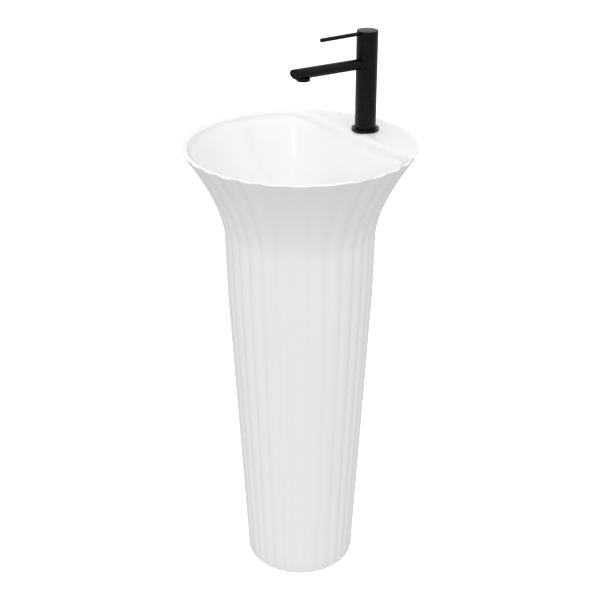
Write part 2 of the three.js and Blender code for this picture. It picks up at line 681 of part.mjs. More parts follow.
const SEAL_THICKNESS = 1.7;
const FLANGE_BOTTOM = GAP + SEAL_THICKNESS + GAP;
const FLANGE_TOP = FLANGE_BOTTOM + 3;
const HUB_TOP = -8;
const HUB_BOTTOM = -16;

function wasteBody() {
  const bore = WASTE_RADIUS - WASTE_WALL;
  const shell = turned([
    [bore, -WASTE_LENGTH],
    [WASTE_RADIUS, -WASTE_LENGTH],
    [WASTE_RADIUS, FLANGE_BOTTOM],
    [WASTE_FLANGE_RADIUS, FLANGE_BOTTOM],
    [WASTE_FLANGE_RADIUS, FLANGE_TOP - 1],
    [WASTE_FLANGE_RADIUS - 1, FLANGE_TOP],
    [bore + 4, FLANGE_TOP],
    [bore, -4],
    [bore, -WASTE_LENGTH],
  ]);
  const hub = rod(7, HUB_BOTTOM, HUB_TOP, 16);
  const arm = (turn) => block([-1.5, 0, HUB_BOTTOM], [1.5, bore + 1, HUB_TOP]).rotateZ(turn);
  const spider = join(hub, ...evenAngles(3).map(arm));
  return cut(join(shell, spider), rod(4.3, HUB_BOTTOM - PAST, HUB_TOP + PAST, 16));
}

function plugCap() {
  const bottom = FLANGE_TOP + 2.1;
  const top = bottom + PLUG_DOME;
  return turned([
    [0, bottom],
    [PLUG_RADIUS - 1, bottom],
    [PLUG_RADIUS, bottom + 1],
    [PLUG_RADIUS - 1, bottom + 2.2],
    [PLUG_RADIUS * 0.7, top - 0.8],
    [PLUG_RADIUS * 0.4, top],
    [0, top],
  ]);
}

// A slip nut, made along +Z with its lip at the top: it screws over a threaded end and clamps a thinner tube.
function slipNut(threadRadius, tubeRadius, bottom, lip, top) {
  const outer = threadRadius + THREAD_DEPTH;
  return turned([
    [threadRadius + GAP, bottom],
    [outer, bottom],
    [outer, top - 1.5],
    [outer - 1.5, top],
    [tubeRadius + GAP, top],
    [tubeRadius + GAP, lip],
    [threadRadius + GAP, lip],
    [threadRadius + GAP, bottom],
  ]);
}

function trapHead() {
  const bore = TRAP_RADIUS - TRAP_WALL;
  const neckBore = PIPE_RADIUS + GAP;
  const neck = neckBore + 4.5;
  const shoulder = -150;
  const shell = turned([
    [bore, -TRAP_HEAD_DROP],
    [TRAP_RADIUS, -TRAP_HEAD_DROP],
    [TRAP_RADIUS, shoulder - 2],
    [TRAP_RADIUS - 3, shoulder],
    [neck, shoulder],
    [neck, -TRAP_NECK_DROP],
    [neckBore, -TRAP_NECK_DROP],
    [neckBore, shoulder - 3],
    [bore, shoulder - 3],
    [bore, -TRAP_HEAD_DROP],
  ]);
  const tube = alongY(rod(neck, bore - 1, OUTLET_BOSS_REACH)).translate(0, 0, -OUTLET_DROP);
  const tubeBore = alongY(rod(neckBore, 20, OUTLET_BOSS_REACH + PAST)).translate(0, 0, -OUTLET_DROP);
  const keep = rod(bore, -TRAP_HEAD_DROP, shoulder - 3);
  return cut(join(shell, geometryFrom(solidFrom(tube).subtract(solidFrom(keep)))), tubeBore);
}

function trapCup() {
  const outer = TRAP_RADIUS + 3.5;
  const top = -TRAP_HEAD_DROP + 12;
  const shelf = -TRAP_HEAD_DROP - 3;
  const bore = TRAP_RADIUS - TRAP_WALL - GAP;
  return turned([
    [0, -TRAP_CUP_DROP],
    [TRAP_RADIUS - 6, -TRAP_CUP_DROP],
    [TRAP_RADIUS, -TRAP_CUP_DROP + 6],
    [TRAP_RADIUS, shelf - 4],
    [outer, shelf - 1],
    [outer, top],
    [TRAP_RADIUS + GAP + 0.1, top],
    [TRAP_RADIUS + GAP + 0.1, shelf],
    [bore, shelf],
    [bore, -TRAP_CUP_DROP + 8],
    [bore - 5, -TRAP_CUP_DROP + 3],
    [0, -TRAP_CUP_DROP + 3],
  ]);
}

function wasteGroup() {
  const group = new THREE.Group();
  group.position.set(0, 0, SEAT_Z);
  const { matteBlack, chrome, brass, steel, rubber, whitePlastic } = FINISHES;
  const nutBore = WASTE_RADIUS + GAP;

  const upperSeal = ring(nutBore + 0.5, WASTE_FLANGE_RADIUS - 1.5, GAP, GAP + SEAL_THICKNESS);
  place(group, "waste_upper_seal", upperSeal, rubber());
  place(group, "waste_body", wasteBody(), matteBlack());
  place(group, "plug_cartridge", ring(STEM_RADIUS + GAP, 4, HUB_BOTTOM - 12, HUB_TOP + 3, 16), brass());
  const plugBottom = FLANGE_TOP + 2.1;
  place(group, "plug_stem", rod(STEM_RADIUS, HUB_BOTTOM - 8, plugBottom - GAP, 16), steel());
  place(group, "plug_seal", ring(WASTE_RADIUS + 3, WASTE_RADIUS + 6, FLANGE_TOP + GAP, plugBottom - GAP), rubber());
  place(group, "plug_cap", plugCap(), matteBlack());

  const under = -SEAT_THICKNESS - GAP;
  const lowerSeal = turned([
    [nutBore, under - 4.4],
    [DRAIN_RADIUS + 7, under - 4.4],
    [DRAIN_RADIUS + 4, under],
    [nutBore, under],
    [nutBore, under - 4.4],
  ]);
  place(group, "waste_lower_seal", lowerSeal, rubber());
  const slipTop = under - 4.4 - GAP;
  place(group, "waste_slip_washer", ring(nutBore, DRAIN_RADIUS + 7, slipTop - 2, slipTop), whitePlastic());
  const locknutTop = slipTop - 2 - GAP;
  const locknut = hexNut(nutBore, 2 * (WASTE_RADIUS + 6), locknutTop - 11, locknutTop);
  place(group, "waste_locknut", locknut, brass());

  // The trap's inlet tube hangs by its flared end in a slip nut on the waste's thread.
  const flareTop = -WASTE_LENGTH - GAP - 2 - GAP;
  const flareBottom = flareTop - 2;
  const inletNut = slipNut(WASTE_RADIUS, PIPE_RADIUS, WASTE_LENGTH - 10, -flareBottom + GAP, -flareBottom + 5);
  place(group, "trap_inlet_nut", inletNut.rotateX(Math.PI), chrome());
  const inletWasher = ring(PIPE_RADIUS, WASTE_RADIUS - GAP, flareTop + GAP, flareTop + GAP + 2);
  place(group, "trap_inlet_washer", inletWasher, rubber());
  const bore = PIPE_RADIUS - PIPE_WALL;
  const inletTube = turned([
    [bore, -DIP_DROP],
    [PIPE_RADIUS, -DIP_DROP],
    [PIPE_RADIUS, flareBottom],
    [WASTE_RADIUS - 1, flareBottom],
    [WASTE_RADIUS - 1, flareTop],
    [bore, flareTop],
    [bore, -DIP_DROP],
  ]);
  place(group, "trap_inlet_tube", inletTube, chrome());

  const neck = PIPE_RADIUS + GAP + 4.5;
  const neckTop = -TRAP_NECK_DROP;
  const headNut = slipNut(neck, PIPE_RADIUS, neckTop - 16, neckTop + 4.6, neckTop + 10);
  place(group, "trap_head_nut", headNut, chrome());
  const headWasher = ring(PIPE_RADIUS + GAP, neck - GAP, neckTop + GAP, neckTop + 4.3);
  place(group, "trap_head_washer", headWasher, rubber());
  place(group, "trap_head", trapHead(), chrome());
  place(group, "trap_cup", trapCup(), chrome());
  const cupSeal = ring(
    TRAP_RADIUS - TRAP_WALL, TRAP_RADIUS, -TRAP_HEAD_DROP - 3 + GAP, -TRAP_HEAD_DROP - GAP,
  );
  place(group, "trap_cup_seal", cupSeal, rubber());

  const bossEnd = OUTLET_BOSS_REACH;
  const outlet = [0, 0, -OUTLET_DROP];
  const outletNut = alongY(slipNut(neck, PIPE_RADIUS, bossEnd - 12, bossEnd + 4.6, bossEnd + 10));
  place(group, "trap_outlet_nut", outletNut, chrome(), outlet);
  const outletWasher = alongY(ring(PIPE_RADIUS + GAP, neck - GAP, bossEnd + GAP, bossEnd + 4.3));
  place(group, "trap_outlet_washer", outletWasher, rubber(), outlet);
  const pipeEnd = ridgeRadius(OUTLET_Z) - PIPE_RECESS;
  const pipe = alongY(ring(bore, PIPE_RADIUS, TRAP_RADIUS + 4, pipeEnd));
  place(group, "waste_pipe", pipe, chrome(), outlet);
  return group;
}

const sink = new THREE.Group();
place(sink, "basin_body", basinBody(), FINISHES.glaze());
sink.add(tapGroup(), wasteGroup());

export default sink;
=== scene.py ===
# %% [markdown]
# # A fluted ceramic basin on its own column
#
# The real object is one hollow casting of vitreous china: a slender fluted column that opens like a
# trumpet into a round bowl. A matte black single-lever tap stands on the flat deck behind the bowl. Inside
# the column hang a push-button waste and a chrome bottle trap, which are reached from the back.
#
# Each visible piece is remade here round the solids of the CAD model, which say where everything is.
# Lengths are in millimetres until a mesh is made, and the mesh itself is in metres.

# %% Load the frame
import json
import math

import bmesh
import bpy
from mathutils import Matrix, Vector


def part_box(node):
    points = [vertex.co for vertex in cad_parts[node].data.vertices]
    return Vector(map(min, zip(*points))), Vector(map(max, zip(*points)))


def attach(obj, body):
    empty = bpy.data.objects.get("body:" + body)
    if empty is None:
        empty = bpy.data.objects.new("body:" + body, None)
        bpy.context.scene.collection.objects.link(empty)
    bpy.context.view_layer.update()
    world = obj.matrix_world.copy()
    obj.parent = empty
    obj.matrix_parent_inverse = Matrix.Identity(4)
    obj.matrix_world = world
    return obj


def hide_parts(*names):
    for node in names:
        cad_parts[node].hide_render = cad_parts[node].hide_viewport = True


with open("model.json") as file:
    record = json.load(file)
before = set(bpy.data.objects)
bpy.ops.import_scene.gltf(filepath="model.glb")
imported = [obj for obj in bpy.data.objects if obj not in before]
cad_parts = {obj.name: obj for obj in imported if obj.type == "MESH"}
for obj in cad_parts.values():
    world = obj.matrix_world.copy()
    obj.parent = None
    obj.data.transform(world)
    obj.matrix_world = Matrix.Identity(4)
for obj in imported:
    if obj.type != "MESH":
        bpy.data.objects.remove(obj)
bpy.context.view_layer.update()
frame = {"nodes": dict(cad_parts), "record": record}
nodes = frame["nodes"]
body_of = {
    node: body
    for body, members in frame["record"]["behaviour"]["bodies"].items()
    for node in members
}

# %% [markdown]
# ## Measures taken from the frame
#
# The tap, the waste and the trap each have their own origin, so that a piece can be drawn as a turner would
# draw it, round its own axis. These origins come from the boxes of the CAD nodes.

# %% Places
MM = 0.001


def millimetres(node):
    """The lowest and highest corner of a CAD node, in millimetres."""
    low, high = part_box(node)
    return Vector(low) / MM, Vector(high) / MM


basin_high = millimetres("basin_body")[1]
tap_low, tap_high = millimetres("tap_body")
DECK = basin_high.z
TAP_Y = (tap_low.y + tap_high.y) / 2
GAP = tap_low.z - DECK
SEAT = millimetres("waste_upper_seal")[0].z - GAP
at_tap = Matrix.Translation((0, TAP_Y, DECK))
at_waste = Matrix.Translation((0, 0, SEAT))
print(f"deck at {DECK:.1f}, tap axis at {TAP_Y:.1f}, seat of the waste at {SEAT:.1f} mm")

# %% [markdown]
# ## Camera
#
# A long lens from a little above keeps the column's sides nearly straight.

# %% Camera
camera = bpy.data.objects.new("camera", bpy.data.cameras.new("camera"))
bpy.context.scene.collection.objects.link(camera)
camera.data.sensor_width = 36
camera.data.lens = 72.7
camera.location = (1.647, -1.153, 1.533)
aim = Vector((0, 0, 0.549))
camera.rotation_euler = (aim - camera.location).to_track_quat("-Z", "Y").to_euler()
bpy.context.scene.camera = camera
print(f"camera {(aim - camera.location).length:.2f} m from the middle of the column")

# %% [markdown]
# ## Nodes and colours
#
# Two small helpers serve every tree in this script. One turns a colour as a painter's chart gives it into
# the linear values that light is computed with. The other adds a node with its settings and its links.

# %% Helpers for nodes
def colour(code):
    """A colour such as #EEEDEA as linear red, green, blue and alpha."""
    channels = [int(code[start : start + 2], 16) / 255 for start in (1, 3, 5)]
    return [c / 12.92 if c <= 0.04045 else ((c + 0.055) / 1.055) ** 2.4 for c in channels] + [1]


def add(tree, kind, inputs=None, **settings):
    """A new node. Each input is a value for its socket, or another node's output to link to it."""
    node = tree.nodes.new(kind)
    for name, value in settings.items():
        setattr(node, name, value)
    for key, value in (inputs or {}).items():
        if isinstance(value, bpy.types.NodeSocket):
            tree.links.new(value, node.inputs[key])
        else:
            node.inputs[key].default_value = value
    return node


def scale_for(size):
    """The scale of a texture whose features are to be that many millimetres across."""
    return 1 / (size * MM)


print("white is", [round(c, 2) for c in colour("#FFFFFF")])

# %% [markdown]
# ## Room
#
# A light table for a floor and a soft white tent round it, with one broad weak light in front. The
# table glows from inside, which takes away the shadow at the foot. The tent is brighter overhead than
# below, so the glaze shows its form softly and the black tap, which mirrors the low part, stays dark.
# The floor doesn't throw its light back up, which keeps the underside of the flare a soft grey.

# %% Floor and light
scene = bpy.context.scene
scene.view_settings.view_transform = "Standard"

floor_mesh = bpy.data.meshes.new("studio_floor")
FAR = 60
floor_mesh.from_pydata([(-FAR, -FAR, 0), (FAR, -FAR, 0), (FAR, FAR, 0), (-FAR, FAR, 0)], [], [(0, 1, 2, 3)])
floor = bpy.data.objects.new("studio_floor", floor_mesh)
scene.collection.objects.link(floor)
floor_finish = bpy.data.materials.new("pale_studio_paper")
floor_finish.use_nodes = True
paper = floor_finish.node_tree
paper_grain = add(
    paper, "ShaderNodeTexNoise",
    {"Vector": add(paper, "ShaderNodeTexCoord").outputs["Object"], "Scale": scale_for(4)},
)
paper_colour = add(
    paper, "ShaderNodeMix",
    {0: paper_grain.outputs[0], 6: colour("#FCFCFC"), 7: colour("#FFFFFF")},
    data_type="RGBA",
)
paper.links.new(paper_colour.outputs[2], paper.nodes["Principled BSDF"].inputs["Base Color"])
paper.nodes["Principled BSDF"].inputs["Roughness"].default_value = 0.9
paper.nodes["Principled BSDF"].inputs["Emission Color"].default_value = colour("#FFFFFF")
paper.nodes["Principled BSDF"].inputs["Emission Strength"].default_value = 0.4
floor_mesh.materials.append(floor_finish)
floor.visible_diffuse = floor.visible_glossy = floor.visible_shadow = False

world = bpy.data.worlds.new("soft_surround")
scene.world = world
world.use_nodes = True
air = world.node_tree
air.nodes.clear()
direction = add(air, "ShaderNodeTexCoord").outputs["Generated"]
height = add(air, "ShaderNodeSeparateXYZ", {0: direction}).outputs["Z"]
DIM_BELOW, BRIGHT_ABOVE = 0.61, 1.11
glow = add(air, "ShaderNodeMapRange", {0: height, 1: -0.2, 2: 0.9, 3: DIM_BELOW, 4: BRIGHT_ABOVE})
surround = add(air, "ShaderNodeBackground", {"Color": colour("#FFFFFF"), "Strength": glow.outputs[0]})
add(air, "ShaderNodeOutputWorld", {"Surface": surround.outputs[0]})

key = bpy.data.objects.new("key_light", bpy.data.lights.new("key_light", "SUN"))
scene.collection.objects.link(key)
key.data.energy = 0.7
key.data.angle = math.radians(50)
towards_light = Vector((0.58, -0.58, 0.574))
key.rotation_euler = (-towards_light).to_track_quat("-Z", "Y").to_euler()
print("floor, surround and one broad light")

# %% [markdown]
# ## Turning and lofting
#
# Most of these pieces are turned on a lathe or thrown on a wheel, so they are drawn as a profile and carried
# round an axis. A corner may carry a small radius, because no real edge is perfectly sharp and the thin
# line of light on a rounded edge is what makes a piece look made. The ceramic and the spout aren't round
# all the way, so they are lofted from rings of points instead.

# %% Helpers for shapes
def new_piece(name, points, faces, place=Matrix()):
    """A mesh from points in millimetres, moved to its place, with doubles merged and faces outwards."""
    mesh = bpy.data.meshes.new(name)
    shape = bmesh.new()
    corners = [shape.verts.new(MM * (place @ Vector(point))) for point in points]
    for face in faces:
        shape.faces.new([corners[i] for i in face])
    bmesh.ops.remove_doubles(shape, verts=shape.verts, dist=0.002 * MM)
    bmesh.ops.recalc_face_normals(shape, faces=shape.faces)
    shape.to_mesh(mesh)
    shape.free()
    piece = bpy.data.objects.new(name, mesh)
    scene.collection.objects.link(piece)
    return piece


def loft(name, rings, place=Matrix(), looped=False):
    """A skin through rings of points. Its two ends are closed, or joined to each other if it is looped."""
    count = len(rings[0])
    points = [point for ring in rings for point in ring]
    faces = []
    for lower in range(len(rings) - (0 if looped else 1)):
        a, b = lower * count, (lower + 1) % len(rings) * count
        faces += [(a + i, a + (i + 1) % count, b + (i + 1) % count, b + i) for i in range(count)]
    if not looped:
        for start, ring in ((0, rings[0]), (len(points) - count, rings[-1])):
            points.append(sum((Vector(point) for point in ring), Vector()) / count)
            faces += [(start + i, start + (i + 1) % count, len(points) - 1) for i in range(count)]
    return new_piece(name, points, faces, place)


def rounded(profile, steps=4):
    """The profile's points, with an arc at each corner that carries a radius as its third number."""
    on_axis = min(profile[0][0], profile[-1][0]) <= 0
    points = []
    for i, (radius, height, *fillet) in enumerate(profile):
        here = Vector((radius, height))
        if not fillet or (on_axis and i in (0, len(profile) - 1)):
            points.append(here)
            continue
        before = Vector(profile[i - 1][:2]) - here
        after = Vector(profile[(i + 1) % len(profile)][:2]) - here
        run = fillet[0] / math.tan(before.angle(after) / 2)
        run = min(run, 0.49 * before.length, 0.49 * after.length)
        start, end = here + before.normalized() * run, here + after.normalized() * run
        for share in (step / steps for step in range(steps + 1)):
            points.append(start * (1 - share) ** 2 + here * 2 * share * (1 - share) + end * share**2)
    return points


def circle(radius, height, sides):
    """The points of a circle round Z."""
    turns = (2 * math.pi * i / sides for i in range(sides))
    return [Vector((radius * math.cos(turn), radius * math.sin(turn), height)) for turn in turns]


def turned(name, profile, sides=96, place=Matrix()):
    """A piece turned round Z. A profile whose ends are on the axis makes a solid, any other makes a ring."""
    points = rounded(profile)
    solid = min(profile[0][0], profile[-1][0]) <= 0
    rings = [circle(point.x, point.y, sides) for point in points]
    if not solid:
        return loft(name, rings, place, looped=True)
    count = len(rings)
    flat = [point for ring in rings for point in ring]
    faces = []
    for lower in range(count - 1):
        a, b = lower * sides, (lower + 1) * sides
        for i in range(sides):
            j = (i + 1) % sides
            if lower == 0:
                faces.append((a, b + j, b + i))
            elif lower == count - 2:
                faces.append((a + i, a + j, b))
            else:
                faces.append((a + i, a + j, b + j, b + i))
    return new_piece(name, flat, faces, place)


def rod(radius, bottom, top, sides=64, place=Matrix()):
    """A plain round cutting tool."""
    return turned("tool", [(0, bottom), (radius, bottom), (radius, top), (0, top)], sides, place)


def settle_modifiers(piece):
    """Puts the result of a piece's modifiers in its mesh, and removes them."""
    graph = bpy.context.evaluated_depsgraph_get()
    done = bpy.data.meshes.new_from_object(piece.evaluated_get(graph), depsgraph=graph)
    before = piece.data
    piece.modifiers.clear()
    piece.data = done
    done.name = piece.name
    bpy.data.meshes.remove(before)


def carve(piece, *tools, operation="DIFFERENCE"):
    """Cuts the tools away from a piece, or joins them to it."""
    for tool in tools:
        modifier = piece.modifiers.new("carve", "BOOLEAN")
        modifier.operation = operation
        modifier.solver = "MANIFOLD"
        modifier.object = tool
        settle_modifiers(piece)
        bpy.data.objects.remove(tool)
    return piece


def shifted(place, x=0, y=0, z=0):
    """A place moved by so many millimetres along its own axes."""
    return place @ Matrix.Translation((x, y, z))


def in_metres(place):
    """A place in millimetres as a transform for a mesh, which is in metres."""
    return Matrix.Translation(place.translation * MM) @ place.to_3x3().to_4x4()


def polish(piece, crease=32):
    """Shades a piece as smooth, apart from edges that turn by more than the crease, in degrees."""
    piece.data.polygons.foreach_set("use_smooth", [True] * len(piece.data.polygons))
    piece.data.set_sharp_from_angle(angle=math.radians(crease))
    return piece


ALONG_Y = Matrix.Rotation(math.radians(-90), 4, "X")
ALONG_MINUS_Y = Matrix.Rotation(math.radians(90), 4, "X")
print("shapes can be turned, lofted, carved and polished")

# %% [markdown]
# ## Geometry Nodes trees
#
# A tree takes named sizes and ends in Realize Instances and Set Material, so that its result is plain
# geometry with its finish. One helper starts a tree, another runs it on a piece and keeps the result.

# %% Helpers for trees
def new_tree(name, sizes):
    """A tree with a geometry input, a material input and one input for each named size."""
    tree = bpy.data.node_groups.new(name, "GeometryNodeTree")
    tree.interface.new_socket("Geometry", in_out="INPUT", socket_type="NodeSocketGeometry")
    tree.interface.new_socket("Finish", in_out="INPUT", socket_type="NodeSocketMaterial")
    for label, value in sizes.items():
        kind = "NodeSocketInt" if isinstance(value, int) else "NodeSocketFloat"
        tree.interface.new_socket(label, in_out="INPUT", socket_type=kind).default_value = value
    tree.interface.new_socket("Geometry", in_out="OUTPUT", socket_type="NodeSocketGeometry")
    return tree, add(tree, "NodeGroupInput").outputs


def end_tree(tree, geometry, given, beside_piece=False):
    """Realizes the instances, sets the finish and gives the result, beside the piece itself if asked."""
    if beside_piece:
        joined = add(tree, "GeometryNodeJoinGeometry", {0: geometry})
        tree.links.new(given["Geometry"], joined.inputs[0])
        geometry = joined.outputs[0]
    real = add(tree, "GeometryNodeRealizeInstances", {0: geometry})
    dressed = add(tree, "GeometryNodeSetMaterial", {0: real.outputs[0], "Material": given["Finish"]})
    add(tree, "NodeGroupOutput", {0: dressed.outputs[0]})


def run_tree(piece, tree, finish, sizes=None):
    """Runs a tree on a piece with the sizes given, and keeps the result as the piece's mesh."""
    values = {"Finish": finish, **(sizes or {})}
    modifier = piece.modifiers.new(tree.name, "NODES")
    modifier.node_group = tree
    for item in tree.interface.items_tree:
        if item.item_type == "SOCKET" and item.in_out == "INPUT" and item.name in values:
            modifier[item.identifier] = values[item.name]
    settle_modifiers(piece)
    return piece


print("trees can be started, ended and run")

# %% [markdown]
# ## Helpers for finishes
#
# Every finish is one Principled surface. A pattern varies its tone between two colours, a pattern varies its
# gloss, and some have a relief. Where tone and gloss vary together in patches of noise, with or without a
# fine grain on top, one function makes the whole finish.

# %% Helpers for finishes
def new_finish(name, surface):
    """A material of one Principled surface, with its constant values on its own sockets."""
    finish = bpy.data.materials.new(name)
    finish.use_nodes = True
    tree = finish.node_tree
    tree.nodes.clear()
    shader = add(tree, "ShaderNodeBsdfPrincipled", surface)
    add(tree, "ShaderNodeOutputMaterial", {"Surface": shader.outputs[0]})
    return finish, tree, shader.inputs, add(tree, "ShaderNodeTexCoord").outputs["Object"]


GRAIN_HEIGHT = 0.03 * MM


def dress(tree, sockets, tones, tone_by, gloss, gloss_by, relief_by=None, strength=0.0):
    """Links a finish's tone, gloss and relief to the patterns that they follow."""
    dark, light = (colour(tone) for tone in tones)
    tone = add(tree, "ShaderNodeMix", {0: tone_by, 6: dark, 7: light}, data_type="RGBA")
    tree.links.new(tone.outputs[2], sockets["Base Color"])
    rough = add(tree, "ShaderNodeMapRange", {0: gloss_by, **dict(enumerate(gloss, 1))})
    tree.links.new(rough.outputs[0], sockets["Roughness"])
    if relief_by:
        bump = {"Height": relief_by, "Strength": strength, "Distance": GRAIN_HEIGHT}
        tree.links.new(add(tree, "ShaderNodeBump", bump).outputs[0], sockets["Normal"])


def patchy_finish(name, surface, patches, tones, gloss, grain=None):
    """A finish in patches. The grain, if any, is its size in millimetres and its strength."""
    finish, tree, sockets, place = new_finish(name, surface)
    noise = add(tree, "ShaderNodeTexNoise", {"Vector": place, **patches}).outputs[0]
    relief = ()
    if grain:
        size, strength = grain
        fine = {"Vector": place, "Scale": scale_for(size), "Detail": 2.0}
        relief = (add(tree, "ShaderNodeTexNoise", fine).outputs[0], strength)
    dress(tree, sockets, tones, noise, gloss, noise, *relief)
    return finish


print("finishes can be made")

# %% [markdown]
# ## Finish: glazed vitreous china
#
# The body is fired once under an opaque white glaze. The glaze is glassy, very slightly wavy, and a little
# warmer or cooler from place to place. The narrow ring that stands on the kiln shelf has no glaze and
# shows the dry, buff body. The wave is 14 mm long on a real piece and only a few hundredths of a
# millimetre high, so it bends reflections and nothing more.

# %% Glazed vitreous china
FOOT_LINE, RAGGED, WAVE_HEIGHT = 0.4 * MM, 0.8 * MM, 0.06 * MM
glazed_china, tree, sockets, place = new_finish("glazed_vitreous_china", {"IOR": 1.52})
cloud = add(tree, "ShaderNodeTexNoise", {"Vector": place, "Scale": scale_for(90), "Detail": 3.0})
white = add(
    tree, "ShaderNodeMix",
    {0: cloud.outputs[0], 6: colour("#EFF0F0"), 7: colour("#F2F1EF")},
    data_type="RGBA",
)
up = add(tree, "ShaderNodeSeparateXYZ", {0: place}).outputs["Z"]
grit = add(tree, "ShaderNodeTexNoise", {"Vector": place, "Scale": scale_for(2.5), "Detail": 4.0})
foot_line = add(
    tree, "ShaderNodeMath",
    {0: grit.outputs[0], 1: RAGGED, 2: FOOT_LINE}, operation="MULTIPLY_ADD",
)
bare = add(tree, "ShaderNodeMath", {0: up, 1: foot_line.outputs[0]}, operation="LESS_THAN")
body_colour = add(
    tree, "ShaderNodeMix",
    {0: bare.outputs[0], 6: white.outputs[2], 7: colour("#D9CFBE")},
    data_type="RGBA",
)
tree.links.new(body_colour.outputs[2], sockets["Base Color"])
sheen = add(tree, "ShaderNodeTexNoise", {"Vector": place, "Scale": scale_for(40), "Detail": 2.0})
glassy = add(tree, "ShaderNodeMapRange", {0: sheen.outputs[0], 1: 0.3, 2: 0.7, 3: 0.07, 4: 0.14})
dry = add(
    tree, "ShaderNodeMath",
    {0: bare.outputs[0], 1: 0.7, 2: glassy.outputs[0]}, operation="MULTIPLY_ADD",
)
tree.links.new(dry.outputs[0], sockets["Roughness"])
wave = add(tree, "ShaderNodeTexNoise", {"Vector": place, "Scale": scale_for(14), "Detail": 1.0})
relief = add(
    tree, "ShaderNodeBump",
    {"Height": wave.outputs[0], "Strength": 0.25, "Distance": WAVE_HEIGHT},
)
tree.links.new(relief.outputs[0], sockets["Normal"])
print(glazed_china.name)

# %% [markdown]
# ## Finish: matte black powder coat
#
# The tap, its lever and the plug of the waste are brass under a baked powder coat. It is a very dark,
# slightly soft black. The powder melts into a fine peel about 0.4 mm across, drawn here at 0.7 mm
# because the true one is too fine to show, and handling polishes it unevenly. A real coat has an index
# near 1.5. It is set lower here, or the white surround would turn the black to grey.

# %% Matte black powder coat
black_coat = patchy_finish(
    "matte_black_powder_coat", {"IOR": 1.27}, {"Scale": scale_for(18), "Detail": 4.0},
    ("#050505", "#090909"), (0.3, 0.7, 0.24, 0.34), grain=(0.7, 0.25),
)
print(black_coat.name)

# %% [markdown]
# ## Finish: polished chrome plate
#
# The trap is brass tube, polished and plated with nickel and chrome. Chrome is a bright, faintly blue
# mirror. Water marks and fingerprints about 12 mm across dull it in patches.

# %% Polished chrome plate
chrome = patchy_finish(
    "polished_chrome_plate", {"Metallic": 1.0}, {"Scale": scale_for(12), "Detail": 5.0},
    ("#DDE0E3", "#ECEEF0"), (0.4, 0.75, 0.05, 0.16),
)
print(chrome.name)

# %% [markdown]
# ## Finish: turned brass
#
# The nuts and the valve's spindle are turned from bar and left bare. The tool leaves rings about 0.3 mm
# apart along the axis, drawn at 0.6 mm so that they show, and the yellow darkens in patches with age.

# %% Turned brass
brass, tree, sockets, place = new_finish("turned_brass", {"Metallic": 1.0})
age = add(tree, "ShaderNodeTexNoise", {"Vector": place, "Scale": scale_for(8), "Detail": 4.0})
rings = add(tree, "ShaderNodeMapping", {"Vector": place, "Scale": (0.05, 0.05, 1.0)})
tool_marks = add(
    tree, "ShaderNodeTexNoise",
    {"Vector": rings.outputs[0], "Scale": scale_for(0.6), "Detail": 1.0},
)
marks = tool_marks.outputs[0]
dress(tree, sockets, ("#A8823A", "#D4AE62"), age.outputs[0], (0.3, 0.7, 0.22, 0.42), marks, marks, 0.3)
print(brass.name)

# %% [markdown]
# ## Finish: zinc-plated steel
#
# The threaded stud and the clamping plate are bright zinc on steel: a cool grey with a cloudy, slightly
# crystalline plate, whose patches are about 3 mm across.

# %% Zinc-plated steel
zinc_steel, tree, sockets, place = new_finish("zinc_plated_steel", {"Metallic": 1.0})
spangle = add(tree, "ShaderNodeTexVoronoi", {"Vector": place, "Scale": scale_for(3)})
haze = add(tree, "ShaderNodeTexNoise", {"Vector": place, "Scale": scale_for(1.2), "Detail": 3.0})
patches = add(
    tree, "ShaderNodeMath",
    {0: spangle.outputs["Distance"], 1: haze.outputs[0]}, operation="MULTIPLY",
)
tones, gloss = ("#A9ADB3", "#CDD1D4"), (0.3, 0.7, 0.26, 0.44)
dress(tree, sockets, tones, patches.outputs[0], gloss, haze.outputs[0])
print(zinc_steel.name)

# %% [markdown]
# ## Finish: moulded rubber
#
# The seals are black EPDM, moulded and dull, with a faint grey bloom in cloudy patches.

# %% Moulded rubber
rubber = patchy_finish(
    "moulded_epdm_rubber", {"IOR": 1.5}, {"Scale": scale_for(5), "Detail": 5.0},
    ("#161616", "#2B2B2C"), (0.3, 0.7, 0.65, 0.85), grain=(0.5, 0.3),
)
print(rubber.name)

# %% [markdown]
# ## Finish: moulded acetal
#
# The cartridge, the slip washer and the aerator's core are white acetal, a hard waxy plastic. It has the
# faint flow marks of moulding, about 6 mm across, and a satin surface.

# %% Moulded acetal
acetal = patchy_finish(
    "moulded_white_acetal", {"IOR": 1.48}, {"Scale": scale_for(6), "Detail": 2.0, "Distortion": 1.2},
    ("#E3E3DD", "#F0F0EB"), (0.3, 0.7, 0.3, 0.45),
)
print(acetal.name)

# %% [markdown]
# ## Finish: lapped alumina
#
# The two valve discs are sintered alumina, lapped flat until they seal on each other. They are dense, off
# white and silky, with a fine grain about 0.5 mm across.

# %% Lapped alumina
alumina = patchy_finish(
    "lapped_alumina", {"IOR": 1.76}, {"Scale": scale_for(0.5), "Detail": 3.0},
    ("#E6E0D2", "#F2EEE4"), (0.3, 0.7, 0.18, 0.3),
)
print(alumina.name)

# %% [markdown]
# ## Where a piece belongs
#
# Each new piece stands for one CAD node. It takes its finish, moves with that node's body, and hides it.

# %% Settling a piece
def belongs(piece, finish, node):
    """Gives a finished piece its finish, its body and the CAD node it stands for."""
    piece.data.materials.clear()
    piece.data.materials.append(finish)
    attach(piece, body_of[node])
    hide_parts(node)
    print(f"{piece.name}: {len(piece.data.polygons)} faces, moves with {body_of[node]}")

# %% [markdown]
# ## Ceramic body: the rule of its outside
#
# The outside follows a rule. Its radius grows evenly from the foot, eases at the neck, and then opens like
# a trumpet over the last 160 mm. The real mould is turned to that profile first, and the flutes are
# then cut into it, deeper where the body is wider. The flutes were drawn by eye, so they crowd and spread
# a little round the body and vary in depth.

